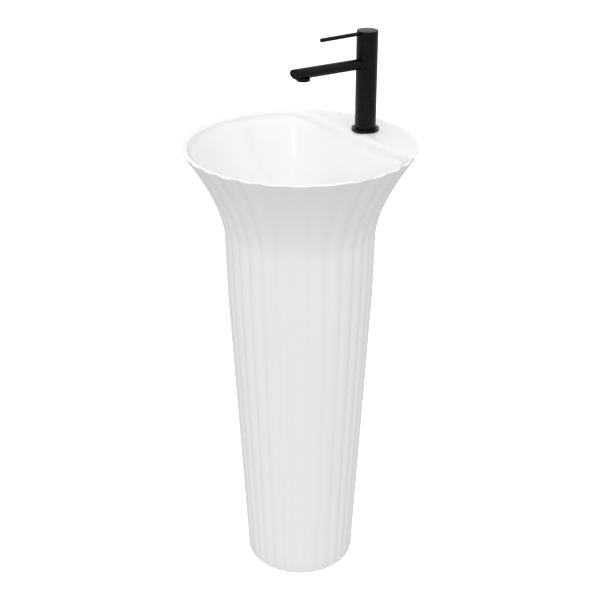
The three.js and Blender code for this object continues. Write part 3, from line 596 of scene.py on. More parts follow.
# %% Profile of the outside
LIP = 1.3  # the rounding of the rim takes this much off the radius
RIM_RADIUS = basin_high.x + LIP
FOOT_RADIUS = 103.1
NECK = DECK - 277.5
FLARE_START = DECK - 160
WALL = 12
COLUMN_SLOPE, NECK_SLOPE, TRUMPET = 0.0522, 0.0236, 1.585
FILLET_BELOW = 5


def ridge_radius(z, rim=RIM_RADIUS):
    """The radius over the ridges of the flutes at a height."""
    def column(height):
        return FOOT_RADIUS + COLUMN_SLOPE * min(height, NECK) + NECK_SLOPE * max(0, height - NECK)

    rise = max(0, (z - FLARE_START) / (DECK - FLARE_START))
    return column(z) + (rim - column(DECK)) * rise**TRUMPET


def spaced(low, high, count, power=1.0):
    """Heights from low to high. A power over 1 crowds them towards low."""
    return [low + (high - low) * (step / count) ** power for step in range(count + 1)]


heights = spaced(4.8, NECK, 14)[:-1] + spaced(NECK, FLARE_START, 5)[:-1]
heights += spaced(FLARE_START, DECK - FILLET_BELOW, 36)
outside = [(ridge_radius(0) - 3.2, 0), (ridge_radius(0) - 1.6, 0.4), (ridge_radius(2) - 0.5, 2)]
outside += [(ridge_radius(z), z) for z in heights]
rim_edge = rounded([
    (ridge_radius(DECK - FILLET_BELOW), DECK - FILLET_BELOW), (RIM_RADIUS, DECK, 1.6), (RIM_RADIUS - 9, DECK),
], 6)
outside += [tuple(point) for point in rim_edge[1:-1]]
print(f"radius {ridge_radius(0):.1f} at the foot, {ridge_radius(NECK):.1f} at the neck")

# %% [markdown]
# ## Ceramic body: the rule of the bowl
#
# The bowl is nearly as wide as the rim, with a straight back edge that leaves a flat deck for the tap. Its
# wall drops steeply and sweeps into a small flat seat for the waste. The edges are softened, because a
# glaze can't hold a sharp one: a few millimetres at the sides, and a broad easy curve at the deck.

# %% Profile of the bowl
BOWL_DEPTH = DECK - SEAT
SEAT_RADIUS = 34
DECK_FRONT = 114
DUCT_DEPTH = 24
CORNER_BLEND = 34
BACK_SLOPE = 0.35
SIDE_EDGE, DECK_EDGE_EXTRA = 4.2, 11


def bowl_back(z):
    """How far back the bowl reaches at a height."""
    return min(DECK_FRONT - BACK_SLOPE * (DECK - z), ridge_radius(z, basin_high.x) - 2 * WALL - DUCT_DEPTH)


def bowl_radius(turn, z):
    """The bowl's radius in a direction and at a height."""
    rise = min(1, max(0, (z - SEAT) / BOWL_DEPTH))
    roundness = math.sqrt(1 - (1 - rise) ** 3)
    side = SEAT_RADIUS + (ridge_radius(z, basin_high.x) - WALL - SEAT_RADIUS) * roundness
    if math.sin(turn) <= 0.05:
        return side
    back = bowl_back(z) / math.sin(turn)
    blend = max(0, 1 - abs(side - back) / CORNER_BLEND)
    return max(SEAT_RADIUS, min(side, back) - CORNER_BLEND / 4 * blend**2)


def edge_radius(turn):
    """The rounding of the bowl's edge: small at the sides and broad at the deck."""
    towards_back = min(1, max(0, (math.sin(turn) - 0.25) / 0.5))
    return SIDE_EDGE + DECK_EDGE_EXTRA * towards_back**2 * (3 - 2 * towards_back)


print(f"bowl {2 * bowl_radius(-math.pi / 2, DECK):.0f} mm wide and {BOWL_DEPTH:.0f} mm deep")

# %% [markdown]
# ## Ceramic body: one skin
#
# The skin is a loft of rings: up the outside, over the rim, across the deck and down into the bowl. It is
# made smooth at first. An attribute says how much of a flute each point is to get, from all of it on the
# outside to none at the bowl's edge, so that the scallops fade out across the rim.

# %% Skin before the flutes
FLUTES, POINTS_PER_FLUTE = 30, 14
TURNS = [2 * math.pi * i / (FLUTES * POINTS_PER_FLUTE) for i in range(FLUTES * POINTS_PER_FLUTE)]
rings, fluted = [], []


def add_ring(share, radius_at, height_at):
    """A ring whose radius and height depend on the direction, with its share of a flute."""
    rings.append([
        Vector((radius_at(turn) * math.cos(turn), radius_at(turn) * math.sin(turn), height_at(turn)))
        for turn in TURNS
    ])
    fluted.append(share)


for radius, z in outside:
    add_ring(1.0, lambda turn: radius, lambda turn: z)
top_radius = outside[-1][0]
for share in (0.05, 0.25, 0.5, 0.75, 0.95):
    add_ring(
        (1 - share) ** 1.5,
        lambda turn: top_radius + (bowl_radius(turn, DECK) + edge_radius(turn) - top_radius) * share,
        lambda turn: DECK,
    )
for tilt in (math.radians(15 * step) for step in range(7)):
    add_ring(
        0.0,
        lambda turn: bowl_radius(turn, DECK) + edge_radius(turn) * (1 - math.sin(tilt)),
        lambda turn: DECK - edge_radius(turn) * (1 - math.cos(tilt)),
    )
for share in (1 - step / 30 for step in range(1, 31)):
    add_ring(
        0.0,
        lambda turn: bowl_radius(turn, SEAT + (BOWL_DEPTH - edge_radius(turn)) * share**2),
        lambda turn: SEAT + (BOWL_DEPTH - edge_radius(turn)) * share**2,
    )
add_ring(0.0, lambda turn: 12.0, lambda turn: SEAT)
basin = loft("fluted_basin", rings)
print(f"{len(rings)} rings of {len(TURNS)} points")

# %% [markdown]
# ## Ceramic body: pressing the flutes
#
# Geometry Nodes press the flutes into the smooth skin. Each point's direction from the axis gives its place
# in a flute. The valley is a cosine raised to a power, which makes it narrower than the ridge beside it.
# Every size has its own input, and the same tree ribs the trap's nuts further down.

# %% Tree that presses flutes
flute_tree, given = new_tree("press_flutes", {
    "Flutes": 30, "Start": 0.0, "Drift": 0.0, "Drift cycles": 3.0,
    "Inner radius": 0.1, "Outer radius": 0.2, "Inner depth": 0.001, "Outer depth": 0.002,
    "Sharpness": 1.6, "Swing": 0.0, "Swing cycles": 4.0, "Swing start": 0.0,
})
position = add(flute_tree, "GeometryNodeInputPosition").outputs[0]
across = add(flute_tree, "ShaderNodeVectorMath", {0: position, 1: (1, 1, 0)}, operation="MULTIPLY").outputs[0]
parts = add(flute_tree, "ShaderNodeSeparateXYZ", {0: across}).outputs
turn = add(flute_tree, "ShaderNodeMath", {0: parts["Y"], 1: parts["X"]}, operation="ARCTAN2").outputs[0]
radius = add(flute_tree, "ShaderNodeVectorMath", {0: across}, operation="LENGTH").outputs["Value"]
wander = turn
for inputs, operation in (
    ({1: given["Drift cycles"]}, "MULTIPLY"), ({}, "COSINE"), ({1: given["Drift"]}, "MULTIPLY"),
):
    wander = add(flute_tree, "ShaderNodeMath", {0: wander, **inputs}, operation=operation).outputs[0]
valley = turn
for inputs, operation in (
    ({1: given["Start"]}, "ADD"), ({1: wander}, "SUBTRACT"), ({1: given["Flutes"]}, "MULTIPLY"),
    ({}, "COSINE"), ({1: 0.5, 2: 0.5}, "MULTIPLY_ADD"), ({1: given["Sharpness"]}, "POWER"),
):
    valley = add(flute_tree, "ShaderNodeMath", {0: valley, **inputs}, operation=operation).outputs[0]
swing = turn
for inputs, operation in (
    ({1: given["Swing cycles"], 2: given["Swing start"]}, "MULTIPLY_ADD"), ({}, "COSINE"),
    ({1: given["Swing"], 2: 1.0}, "MULTIPLY_ADD"),
):
    swing = add(flute_tree, "ShaderNodeMath", {0: swing, **inputs}, operation=operation).outputs[0]
depth = add(flute_tree, "ShaderNodeMapRange", {
    0: radius, 1: given["Inner radius"], 2: given["Outer radius"],
    3: given["Inner depth"], 4: given["Outer depth"],
}).outputs[0]
share = add(flute_tree, "GeometryNodeInputNamedAttribute", {"Name": "fluted"}, data_type="FLOAT").outputs[0]
for factor in (valley, swing, share, -1.0):
    depth = add(flute_tree, "ShaderNodeMath", {0: depth, 1: factor}, operation="MULTIPLY").outputs[0]
outwards = add(flute_tree, "ShaderNodeVectorMath", {0: across}, operation="NORMALIZE").outputs[0]
move = add(flute_tree, "ShaderNodeVectorMath", {0: outwards, "Scale": depth}, operation="SCALE").outputs[0]
pressed = add(flute_tree, "GeometryNodeSetPosition", {0: given["Geometry"], "Offset": move})
end_tree(flute_tree, pressed.outputs[0], given)


def mark_fluted(piece, share_at):
    """Stores how much of a flute each point gets. share_at takes the point's radius in millimetres."""
    layer = piece.data.attributes.new("fluted", "FLOAT", "POINT")
    points = (vertex.co / MM for vertex in piece.data.vertices)
    layer.data.foreach_set("value", [share_at(math.hypot(p.x, p.y)) for p in points])


shares = [share for share in fluted for turn in TURNS]
shares += [0.0] * (len(basin.data.vertices) - len(shares))
basin.data.attributes.new("fluted", "FLOAT", "POINT").data.foreach_set("value", shares)
run_tree(basin, flute_tree, glazed_china, {
    "Flutes": FLUTES, "Start": math.radians(3.8), "Drift": math.radians(2.3),
    "Inner radius": FOOT_RADIUS * MM, "Outer radius": RIM_RADIUS * MM,
    "Inner depth": 1.5 * MM, "Outer depth": 3.6 * MM,
    "Swing": 0.35, "Swing start": math.radians(260),
})
print(f"{FLUTES} flutes pressed into {len(basin.data.vertices)} points")

# %% [markdown]
# ## Ceramic body: the hollow and its openings
#
# The casting is hollow to let the trap in. It opens at the foot and through a rounded window in the back,
# and a duct behind the bowl takes the supply hoses up to the tap. These are tools cut out of the skin.
# The window's edge is eased by a tool that widens over its last few millimetres.

# %% Hollow, duct, window and holes
CEILING = SEAT - 13
DUCT_DROP, OUTLET_DROP = 190, 167
TAP_HOLE_RADIUS, DRAIN_RADIUS = 17.5, 23


def inside(z):
    """The radius of the hollow at a height."""
    return ridge_radius(z, basin_high.x) - WALL


hollow = turned("tool", [
    (0, -5), (inside(0), -5), (inside(NECK), NECK), (inside(SEAT - 12), SEAT - 12, 4),
    (inside(SEAT - 12) - 3, SEAT + 2, 4), (inside(SEAT - 12) - 14, SEAT + 8, 6),
    (SEAT_RADIUS + 44, CEILING + 11, 8), (SEAT_RADIUS + 8, CEILING, 6), (0, CEILING),
])
duct_rings = []
for z in spaced(DECK - DUCT_DROP, DECK - WALL, 12):
    far, near = inside(z) - 1, bowl_back(z) + WALL
    half_depth = (far - near) / 2
    half_width = min(46, math.sqrt(half_depth * far))
    duct_rings.append([
        Vector((point.x * half_width, (far + near) / 2 + point.y * half_depth, z))
        for point in circle(1, 0, 64)
    ])
duct = loft("tool", duct_rings)

WINDOW_WIDTH, WINDOW_HEIGHT, WINDOW_CORNER = 100, 200, 30
WINDOW_Z = SEAT - OUTLET_DROP
EASED = ((45, 0), (4, 0), (2.6, 0.25), (1.4, 1.0), (0.5, 2.1), (-0.2, 3.4), (-6, 3.4))
window_rings = []
for depth_in, wider in EASED:
    ring = []
    for corner, (side, rise) in enumerate(((1, 1), (-1, 1), (-1, -1), (1, -1))):
        for step in range(13):
            angle = math.radians(90 * corner + 7.5 * step)
            x = side * (WINDOW_WIDTH / 2 - WINDOW_CORNER) + (WINDOW_CORNER + wider) * math.cos(angle)
            z = rise * (WINDOW_HEIGHT / 2 - WINDOW_CORNER) + (WINDOW_CORNER + wider) * math.sin(angle)
            surface = ridge_radius(WINDOW_Z + z) - 0.6
            ring.append(Vector((x, math.sqrt(surface**2 - x**2) - depth_in, WINDOW_Z + z)))
    window_rings.append(ring)
window = loft("tool", window_rings)
tap_hole = rod(TAP_HOLE_RADIUS, DECK - WALL - 4, DECK + 4, place=Matrix.Translation((0, TAP_Y, 0)))
drain = rod(DRAIN_RADIUS, CEILING - 4, SEAT + 4)
carve(basin, hollow, duct, window, tap_hole, drain)
polish(basin, 40)
belongs(basin, glazed_china, "basin_body")

# %% [markdown]
# ## Tap body and flange
#
# The body is one turned cylinder with a small radius at the top. It is bored from above for the cartridge
# and from the side for the spout, with two sockets and a stud hole underneath. A separate turned flange
# slides down over it and hides the hole in the deck.

# %% Tap body and flange
TAP_RADIUS = tap_high.x
BODY_TOP = tap_high.z - DECK
CARTRIDGE_DEPTH, CARTRIDGE_BORE = 32, 14.3
CARTRIDGE_FLOOR = BODY_TOP - CARTRIDGE_DEPTH
SPOUT_RADIUS, SPOUT_HEIGHT, SPOUT_TILT = 9.4, 122, math.radians(1.2)
STUD_Y, INLET_X, INLET_Y = -10, 7.5, 3
WATERWAY, FIT = 3, 0.15
at_spout = shifted(at_tap, z=SPOUT_HEIGHT) @ Matrix.Rotation(-SPOUT_TILT, 4, "X")

tap = turned("tap_column", [
    (0, GAP), (TAP_RADIUS, GAP, 0.4), (TAP_RADIUS, BODY_TOP, 1.1), (0, BODY_TOP),
], 128, at_tap)
tools = [
    rod(CARTRIDGE_BORE, CARTRIDGE_FLOOR, BODY_TOP + 3, place=at_tap),
    rod(SPOUT_RADIUS + FIT, 9, 30, 96, at_spout @ ALONG_MINUS_Y),
    rod(WATERWAY, SPOUT_HEIGHT, CARTRIDGE_FLOOR + 2, 32, shifted(at_tap, y=-5)),
    rod(WATERWAY, 0, 12, 32, shifted(at_tap, z=SPOUT_HEIGHT) @ ALONG_MINUS_Y),
    rod(4.3, -3, 18, 32, shifted(at_tap, y=STUD_Y)),
]
for side in (-INLET_X, INLET_X):
    over_inlet = shifted(at_tap, x=side, y=INLET_Y)
    tools += [rod(5, -3, 20, 32, over_inlet), rod(WATERWAY, 19, CARTRIDGE_FLOOR + 2, 32, over_inlet)]
polish(carve(tap, *tools))
belongs(tap, black_coat, "tap_body")

FLANGE_RADIUS = millimetres("base_flange")[1].x
flange = turned("tap_flange", [
    (TAP_RADIUS + FIT, 1.6), (FLANGE_RADIUS - 1, 1.6), (FLANGE_RADIUS - 1, GAP),
    (FLANGE_RADIUS, GAP, 0.2), (FLANGE_RADIUS, 5, 0.9), (TAP_RADIUS + FIT, 5, 0.25),
], 128, at_tap)
belongs(polish(flange), black_coat, "base_flange")

# %% [markdown]
# ## Spout
#
# The spout is a straight tube whose end is cut on a slant and closed by a plate set just inside it. A low
# boss under the tube takes the aerator. The slanting rim is lofted: each point of a ring is moved along the
# tube by its own height and its own place across, so the end looks aside and a little down, and leaves room
# for a small radius on its edge.

# %% Spout tube and end plate
REACH, DOWNWARD, SIDEWAYS, SPOUT_BORE = 153, 0.25, 0.5, 7.6


def slanting(radius, back):
    """A ring across the spout, parallel to its slanting end and that far behind it."""
    return [
        Vector((point.x, -(REACH + DOWNWARD * point.y - SIDEWAYS * point.x - back), point.y))
        for point in circle(radius, 0, 96)
    ]


def square(radius, along):
    """A ring straight across the spout, at a distance from the tap's axis."""
    return [Vector((point.x, -along, point.y)) for point in circle(radius, 0, 96)]


spout = loft("spout_tube_slant_cut", [
    square(SPOUT_RADIUS, 9.3), square(SPOUT_RADIUS, 60), square(SPOUT_RADIUS, 120),
    slanting(SPOUT_RADIUS, 0.5), slanting(SPOUT_RADIUS - 0.06, 0.28), slanting(SPOUT_RADIUS - 0.2, 0.1),
    slanting(SPOUT_RADIUS - 0.4, 0.0), slanting(SPOUT_BORE + 0.3, 0.0), slanting(SPOUT_BORE + 0.08, 0.1),
    slanting(SPOUT_BORE, 0.3), slanting(SPOUT_BORE, 6), square(SPOUT_BORE, 120), square(SPOUT_BORE, 9.3),
], at_spout, looped=True)
AERATOR_REACH, AERATOR_RADIUS = 136, 11.75
BOSS_BOTTOM, BOSS_TOP = -SPOUT_RADIUS - 1.6, -7.5
at_aerator = shifted(at_spout, y=-AERATOR_REACH)
boss = turned("tool", [
    (0, BOSS_BOTTOM), (AERATOR_RADIUS, BOSS_BOTTOM, 0.3), (AERATOR_RADIUS, BOSS_TOP, 0.6), (0, BOSS_TOP),
], 96, at_aerator)
carve(boss, rod(SPOUT_BORE, 100, 170, 96, at_spout @ ALONG_MINUS_Y))
carve(spout, boss, operation="UNION")
carve(spout, rod(8.2, BOSS_BOTTOM - 2, -SPOUT_RADIUS + 0.7, 64, at_aerator))
port_at = shifted(at_spout, y=-AERATOR_REACH + 2)
carve(spout, rod(4, -SPOUT_RADIUS - 0.5, -5, 32, port_at))
belongs(polish(spout), black_coat, "spout_tube")

end_plate = loft("spout_end_plate", [
    slanting(SPOUT_BORE - 0.45, 2.8), slanting(SPOUT_BORE - 0.3, 2.65), slanting(SPOUT_BORE - 0.3, 1.4),
    slanting(SPOUT_BORE - 0.4, 1.25), slanting(SPOUT_BORE - 0.6, 1.2), slanting(SPOUT_BORE - 4, 1.2),
], at_spout)
belongs(polish(end_plate, 50), black_coat, "spout_end_cap")

# %% [markdown]
# ## Aerator
#
# A turned housing screws into the boss. In its mouth sits a white core with a honeycomb of small cells that
# breaks the water into a soft stream. Geometry Nodes lay a grid of points, shift every other row by half a
# cell, keep those inside the mouth, and put a thin-walled hexagon on each.

# %% Honeycomb tree
ACROSS, ROWS = 11, 13
comb_tree, given = new_tree("honeycomb", {"Cell": 0.0015, "Reach": 0.005, "Wall": 0.0001, "Depth": 0.001})
grid = add(comb_tree, "GeometryNodeMeshGrid", {
    "Size X": 0.0, "Size Y": 0.0, "Vertices X": ACROSS, "Vertices Y": ROWS,
}).outputs[0]
index = add(comb_tree, "GeometryNodeInputIndex").outputs[0]
row = add(comb_tree, "ShaderNodeMath", {0: index, 1: ACROSS}, operation="MODULO").outputs[0]
column = index
for inputs, operation in (({1: ACROSS}, "DIVIDE"), ({}, "FLOOR")):
    column = add(comb_tree, "ShaderNodeMath", {0: column, **inputs}, operation=operation).outputs[0]
along = aside = column
for inputs, operation in (
    ({1: 2.0}, "MODULO"), ({1: 0.5, 2: row}, "MULTIPLY_ADD"), ({1: (ACROSS - 1) / 2}, "SUBTRACT"),
    ({1: given["Cell"]}, "MULTIPLY"),
):
    along = add(comb_tree, "ShaderNodeMath", {0: along, **inputs}, operation=operation).outputs[0]
for inputs, operation in (
    ({1: (ROWS - 1) / 2}, "SUBTRACT"), ({1: math.sqrt(3) / 2}, "MULTIPLY"), ({1: given["Cell"]}, "MULTIPLY"),
):
    aside = add(comb_tree, "ShaderNodeMath", {0: aside, **inputs}, operation=operation).outputs[0]
spot = add(comb_tree, "ShaderNodeCombineXYZ", {0: along, 1: aside}).outputs[0]
spots = add(comb_tree, "GeometryNodeSetPosition", {0: grid, "Position": spot}).outputs[0]
here = add(comb_tree, "GeometryNodeInputPosition").outputs[0]
away = add(comb_tree, "ShaderNodeVectorMath", {0: here}, operation="LENGTH").outputs["Value"]
outside_mouth = add(comb_tree, "FunctionNodeCompare", {0: away, 1: given["Reach"]}, operation="GREATER_THAN")
kept = add(comb_tree, "GeometryNodeDeleteGeometry", {0: spots, 1: outside_mouth.outputs[0]}).outputs[0]
half_cell = add(comb_tree, "ShaderNodeMath", {0: given["Cell"], 1: 0.52}, operation="MULTIPLY").outputs[0]
hexagon = add(
    comb_tree, "GeometryNodeCurvePrimitiveCircle", {"Resolution": 6, "Radius": half_cell},
).outputs[0]
strip = add(
    comb_tree, "GeometryNodeCurvePrimitiveQuadrilateral", {"Width": given["Wall"], "Height": given["Depth"]},
).outputs[0]
cell = add(comb_tree, "GeometryNodeCurveToMesh", {0: hexagon, 1: strip}).outputs[0]
upright = add(comb_tree, "ShaderNodeCombineXYZ", {2: math.radians(30)}).outputs[0]
cells = add(
    comb_tree, "GeometryNodeInstanceOnPoints", {"Points": kept, "Instance": cell, "Rotation": upright},
).outputs[0]
end_tree(comb_tree, cells, given, beside_piece=True)
print(f"{len(comb_tree.nodes)} nodes in the honeycomb")

# %% [markdown]
# ## Aerator: housing and core
#
# The housing shows only a low collar under the boss. The core is a shallow cup with its comb in the mouth.

# %% Aerator housing and core
AERATOR_BOTTOM = -SPOUT_RADIUS - 3.4
COMB_DEPTH = 0.6
housing = turned("aerator_housing_turned", [
    (5.4, AERATOR_BOTTOM, 0.2), (AERATOR_RADIUS, AERATOR_BOTTOM, 0.6),
    (AERATOR_RADIUS, BOSS_BOTTOM - GAP, 0.15), (7.9, BOSS_BOTTOM - GAP),
    (7.9, -SPOUT_RADIUS - 0.4), (6.5, -SPOUT_RADIUS - 0.4),
    (6.5, AERATOR_BOTTOM + 1.2), (5.4, AERATOR_BOTTOM + 1.2),
], 96, at_aerator)
belongs(polish(housing), black_coat, "aerator_housing")

CORE_BOTTOM = AERATOR_BOTTOM + 1.5
core_top = -SPOUT_RADIUS - 0.8 - CORE_BOTTOM - COMB_DEPTH / 2
core = turned("aerator_core", [
    (4.9, 0), (6.2, 0, 0.15), (6.2, core_top, 0.15), (0, core_top),
    (0, core_top - 0.4), (4.9, core_top - 0.4),
], 64)
run_tree(core, comb_tree, acetal, {
    "Cell": 1.5 * MM, "Reach": 4.4 * MM, "Wall": 0.12 * MM, "Depth": COMB_DEPTH * MM,
})
low = min(vertex.co.z for vertex in core.data.vertices)
core.data.transform(Matrix.Translation((0, 0, -low)))
core.data.transform(in_metres(at_aerator) @ Matrix.Translation((0, 0, CORE_BOTTOM * MM)))
belongs(polish(core), acetal, "aerator_insert")

# %% [markdown]
# ## Handle
#
# The cap is a turned shell whose lower edge rises slightly towards the back, which leaves room for it to
# tip when the lever is lifted. The lever is a thin rod with a rounded tip that is pressed into the cap. At
# the back, a small rubber plug hides the grub screw that holds the cap on the spindle.

# %% Cap, lever and plug
TAP_HEIGHT = millimetres("handle_cap")[1].z - DECK
CAP_BOTTOM = BODY_TOP + GAP
CAP_SKIRT = TAP_RADIUS - 1.7
CAP_FLOOR = TAP_HEIGHT - 9
cap = turned("handle_cap_turned", [
    (0, CAP_FLOOR), (CAP_SKIRT, CAP_FLOOR), (CAP_SKIRT, CAP_BOTTOM),
    (TAP_RADIUS, CAP_BOTTOM, 0.3), (TAP_RADIUS, TAP_HEIGHT, 0.8), (0, TAP_HEIGHT),
], 128, at_tap)
carve(cap, rod(5.5, CAP_BOTTOM + 2, TAP_HEIGHT - 7, 48, at_tap), operation="UNION")
slope = Matrix.Rotation(math.atan(2 / (2 * TAP_RADIUS)), 4, "X")
wedge_at = shifted(at_tap, y=-TAP_RADIUS, z=CAP_BOTTOM) @ slope
wedge = loft("tool", [
    [(-30, -2, z), (30, -2, z), (30, 60, z), (-30, 60, z)] for z in (-20, 0)
], wedge_at)
LEVER_BELOW_TOP, LEVER_RADIUS = 4.1, 3.5
LEVER_Z = TAP_HEIGHT - LEVER_BELOW_TOP
SCREW_Z = CAP_FLOOR + 2
carve(
    cap, wedge,
    rod(2.6, CAP_BOTTOM - 3, TAP_HEIGHT - 6, 32, at_tap),
    rod(3.65, 7, 25, 48, shifted(at_tap, z=LEVER_Z) @ ALONG_MINUS_Y),
    rod(2.2, 1, 25, 32, shifted(at_tap, z=SCREW_Z) @ ALONG_Y),
)
belongs(polish(cap), black_coat, "handle_cap")

LEVER_REACH = TAP_Y - millimetres("lever_pin")[0].y
lever = turned("lever_rod", [
    (0, 7.3), (LEVER_RADIUS, 7.3, 0.3), (LEVER_RADIUS, LEVER_REACH, 0.8), (0, LEVER_REACH),
], 64, shifted(at_tap, z=LEVER_Z) @ ALONG_MINUS_Y)
belongs(polish(lever), black_coat, "lever_pin")

plug = turned("grub_screw_plug", [
    (0, TAP_RADIUS - 3), (2, TAP_RADIUS - 3, 0.2), (2, TAP_RADIUS - 0.6, 0.4), (0, TAP_RADIUS - 0.4),
], 48, shifted(at_tap, z=SCREW_Z) @ ALONG_Y)
belongs(polish(plug), rubber, "screw_plug")

# %% [markdown]
# ## Threads
#
# A rolled thread is a ridge that winds round a rod at an even pitch. Geometry Nodes sweep a small triangle
# along a helix, join it to the plain core, and cut nothing, so the tree serves any rod. It threads the
# stud under the tap and the tube of the waste.

# %% Thread tree
thread_tree, given = new_tree("wind_thread", {
    "Radius": 0.004, "Pitch": 0.00125, "Length": 0.05, "Start height": 0.0, "Ridge": 0.0005, "Steps": 24,
})
rounds = add(
    thread_tree, "ShaderNodeMath", {0: given["Length"], 1: given["Pitch"]}, operation="DIVIDE",
).outputs[0]
helix = add(thread_tree, "GeometryNodeCurveSpiral", {
    "Resolution": given["Steps"], "Rotations": rounds, "Start Radius": given["Radius"],
    "End Radius": given["Radius"], "Height": given["Length"],
}).outputs[0]
ridge = add(
    thread_tree, "GeometryNodeCurvePrimitiveCircle", {"Resolution": 3, "Radius": given["Ridge"]},
).outputs[0]
wound = add(
    thread_tree, "GeometryNodeCurveToMesh", {0: helix, 1: ridge, "Fill Caps": True},
).outputs[0]
lift = add(thread_tree, "ShaderNodeCombineXYZ", {2: given["Start height"]}).outputs[0]
wound = add(thread_tree, "GeometryNodeTransform", {0: wound, "Translation": lift}).outputs[0]
end_tree(thread_tree, wound, given, beside_piece=True)
print(f"{len(thread_tree.nodes)} nodes in the thread")

# %% [markdown]
# ## Mounting stud
#
# One threaded stud, screwed into the tap from below, pulls the whole tap down on the deck.

# %% Mounting stud
stud = turned("mounting_stud_threaded", [
    (0, -53), (3.5, -53, 0.5), (3.5, 17, 0.5), (0, 17),
], 48)
run_tree(stud, thread_tree, zinc_steel, {
    "Radius": 3.45 * MM, "Pitch": 1.25 * MM, "Length": 68 * MM, "Start height": -52 * MM, "Ridge": 0.5 * MM,
})
stud.data.transform(in_metres(shifted(at_tap, y=STUD_Y)))
belongs(polish(stud), zinc_steel, "mounting_stud")

# %% [markdown]
# ## Waste and plug
#
# The waste is a turned tube with a wide flange that beds on the bowl's seat. Three arms inside carry the
# catch of the plug. The plug is a low dome: it is pressed once to close and once more to open.

# %% Waste body and plug cap
FLANGE_TOP = millimetres("waste_body")[1].z - SEAT
FLANGE_BOTTOM = FLANGE_TOP - 3
WASTE_BORE, WASTE_TUBE, WASTE_FLANGE = 18.5, 20.3, 32
waste = turned("waste_body_turned", [
    (WASTE_BORE, -72, 0.3), (WASTE_TUBE, -72, 0.3), (WASTE_TUBE, -16), (21, -15), (21, FLANGE_BOTTOM),
    (WASTE_FLANGE, FLANGE_BOTTOM), (WASTE_FLANGE, FLANGE_TOP, 1.2), (22.5, FLANGE_TOP, 0.8),
    (WASTE_BORE, -4, 2),
], 96)
hub = turned("tool", [(0, -16), (7, -16, 0.5), (7, -8, 0.5), (0, -8)], 48)
carve(waste, hub, operation="UNION")
for arm in range(3):
    turn_by = Matrix.Rotation(2 * math.pi * arm / 3, 4, "Z")
    strut = loft("tool", [
        [(-1.5, 3, z), (1.5, 3, z), (1.5, 19.5, z), (-1.5, 19.5, z)] for z in (-16, -8)
    ], turn_by)
    carve(waste, strut, operation="UNION")
carve(waste, rod(4.3, -18, -6, 48))
run_tree(waste, thread_tree, black_coat, {
    "Radius": 20.25 * MM, "Pitch": 2 * MM, "Length": 52 * MM, "Start height": -70.5 * MM,
    "Ridge": 0.7 * MM, "Steps": 96,
})
waste.data.transform(in_metres(at_waste))
belongs(polish(waste), black_coat, "waste_body")

plug_low, plug_high = (corner.z - SEAT for corner in millimetres("plug_cap"))
plug_dome = turned("plug_cap_domed", [
    (0, plug_low), (29.5, plug_low, 0.3), (30.5, plug_low + 1, 0.6), (29.6, plug_low + 2.2, 0.8),
    (21.4, plug_high - 0.8, 12), (12.2, plug_high - 0.05, 12), (0, plug_high),
], 96, at_waste)
belongs(polish(plug_dome), black_coat, "plug_cap")

# %% [markdown]
# ## Bottle trap
#
# The trap is chromed brass tube. Water falls down the inlet tube into the cup, and leaves by the side pipe
# well above the cup's floor, so the cup always holds enough water to keep smells out. Ribbed nuts are
# turned by hand on every joint. The ribs come from the same tree as the flutes of the ceramic body.

# %% Ribbed nuts
PIPE, BORE = 16, 14.4
HEAD_RADIUS, HEAD_BORE = 30, 27.5
DIP, HEAD_BOTTOM, NECK_TOP = -232, -212, -122
NUT_RIBS, CUP_RIBS, POINTS_PER_RIB = 24, 32, 8
RIBBED = {"Inner depth": 0.9 * MM, "Outer depth": 0.9 * MM, "Sharpness": 3.0}


def slip_nut(name, node, thread, bottom, lip, top, place):
    """A ribbed nut that screws over a threaded end and clamps a tube."""
    outer = thread + 5.6
    nut = turned(name, [
        (thread + GAP, bottom), (outer, bottom, 0.4), (outer, bottom + 1.2), (outer, top - 2),
        (outer - 2, top, 0.8), (PIPE + GAP, top, 0.3), (PIPE + GAP, lip), (thread + GAP, lip),
    ], NUT_RIBS * POINTS_PER_RIB)
    mark_fluted(nut, lambda radius: min(1, max(0, (radius - outer + 1.6) / 1.2)))
    run_tree(nut, flute_tree, chrome, {
        "Flutes": NUT_RIBS, "Inner radius": (outer - 2) * MM, "Outer radius": outer * MM, **RIBBED,
    })
    nut.data.transform(in_metres(place))
    belongs(polish(nut), chrome, node)


NECK_RADIUS = PIPE + GAP + 4.5
upside_down = at_waste @ Matrix.Rotation(math.pi, 4, "X")
slip_nut("trap_inlet_nut_ribbed", "trap_inlet_nut", 21, 62, 76.9, 81.6, upside_down)
slip_nut("trap_neck_nut_ribbed", "trap_head_nut", NECK_RADIUS, -138, -117.4, -112, at_waste)
at_outlet = shifted(at_waste, z=-OUTLET_DROP) @ ALONG_Y
slip_nut("trap_outlet_nut_ribbed", "trap_outlet_nut", NECK_RADIUS, 38, 54.6, 60, at_outlet)

# %% [markdown]
# ## Bottle trap: tubes, head and cup
#
# The head carries the branch for the outlet. The cup screws on from below with a knurled rim to grip.

# %% Trap tubes, head and cup
inlet_tube = turned("trap_inlet_tube_flared", [
    (BORE, DIP, 0.3), (PIPE, DIP, 0.3), (PIPE, -76.6, 2), (20, -76.6, 0.4), (20, -74.6, 0.4),
    (BORE, -74.6, 1.5),
], 96, at_waste)
belongs(polish(inlet_tube), chrome, "trap_inlet_tube")

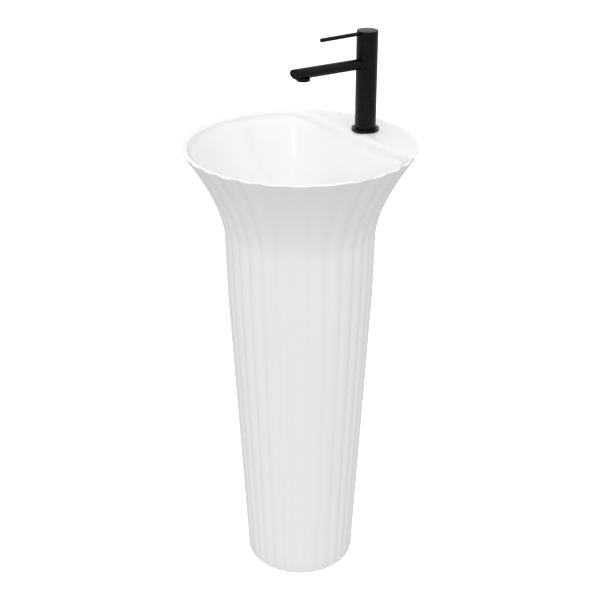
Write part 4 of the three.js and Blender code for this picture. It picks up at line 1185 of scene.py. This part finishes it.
head = turned("trap_head_drawn", [
    (HEAD_BORE, HEAD_BOTTOM), (HEAD_RADIUS, HEAD_BOTTOM), (HEAD_RADIUS, -150, 5), (NECK_RADIUS, -150, 1.5),
    (NECK_RADIUS, NECK_TOP, 0.4), (PIPE + GAP, NECK_TOP, 0.4), (PIPE + GAP, -153), (HEAD_BORE, -153, 3),
], 96, at_waste)
branch = rod(NECK_RADIUS, 26.5, 50, 96, at_outlet)
keep_clear = rod(HEAD_BORE, HEAD_BOTTOM, -153, 96, at_waste)
carve(branch, keep_clear)
carve(head, branch, operation="UNION")
carve(head, rod(PIPE + GAP, 20, 52, 96, at_outlet))
belongs(polish(head), chrome, "trap_head")

CUP_RADIUS, CUP_RIM = 30, 33.5
cup = turned("trap_cup_ribbed", [
    (0, -262), (24, -262, 2), (CUP_RADIUS, -256, 3), (CUP_RADIUS, -219, 1), (CUP_RIM, -216, 0.8),
    (CUP_RIM, -201), (CUP_RIM, -200, 0.5), (30.4, -200, 0.3), (30.4, -215), (27.2, -215), (27.2, -254, 2),
    (22.2, -259, 2), (0, -259),
], CUP_RIBS * POINTS_PER_RIB)
mark_fluted(cup, lambda radius: min(1, max(0, (radius - 32.2) / 1.0)))
run_tree(cup, flute_tree, chrome, {
    "Flutes": CUP_RIBS, "Inner radius": CUP_RADIUS * MM, "Outer radius": CUP_RIM * MM, **RIBBED,
})
cup.data.transform(in_metres(at_waste))
belongs(polish(cup), chrome, "trap_cup")

pipe_end = millimetres("waste_pipe")[1].y
pipe = turned("waste_pipe_drawn", [
    (BORE, 34, 0.3), (PIPE, 34, 0.3), (PIPE, pipe_end, 0.4), (BORE, pipe_end, 0.4),
], 96, at_outlet)
belongs(polish(pipe), chrome, "waste_pipe")

# %% [markdown]
# ## Pieces kept from the CAD
#
# Seals, washers, nuts and the inside of the valve are the right shape already. They are out of sight when
# the basin is in use, so they stay as they are and only get their real finishes.

# %% Finishes of the kept pieces
kept = {
    rubber: [
        "base_gasket", "aerator_seal", "cartridge_seal", "horseshoe_seal", "waste_upper_seal", "plug_seal",
        "waste_lower_seal", "trap_inlet_washer", "trap_head_washer", "trap_cup_seal", "trap_outlet_washer",
    ],
    acetal: ["disc_carrier", "cartridge_housing", "cartridge_rotor", "waste_slip_washer"],
    alumina: ["fixed_disc", "moving_disc"],
    brass: ["cartridge_nut", "spindle", "stud_nut", "plug_cartridge", "waste_locknut"],
    zinc_steel: ["pivot_pin", "grub_screw", "horseshoe_plate", "plug_stem"],
}
for finish, names in kept.items():
    for name in names:
        nodes[name].data.materials.clear()
        nodes[name].data.materials.append(finish)
print(sum(len(names) for names in kept.values()), "CAD pieces kept")
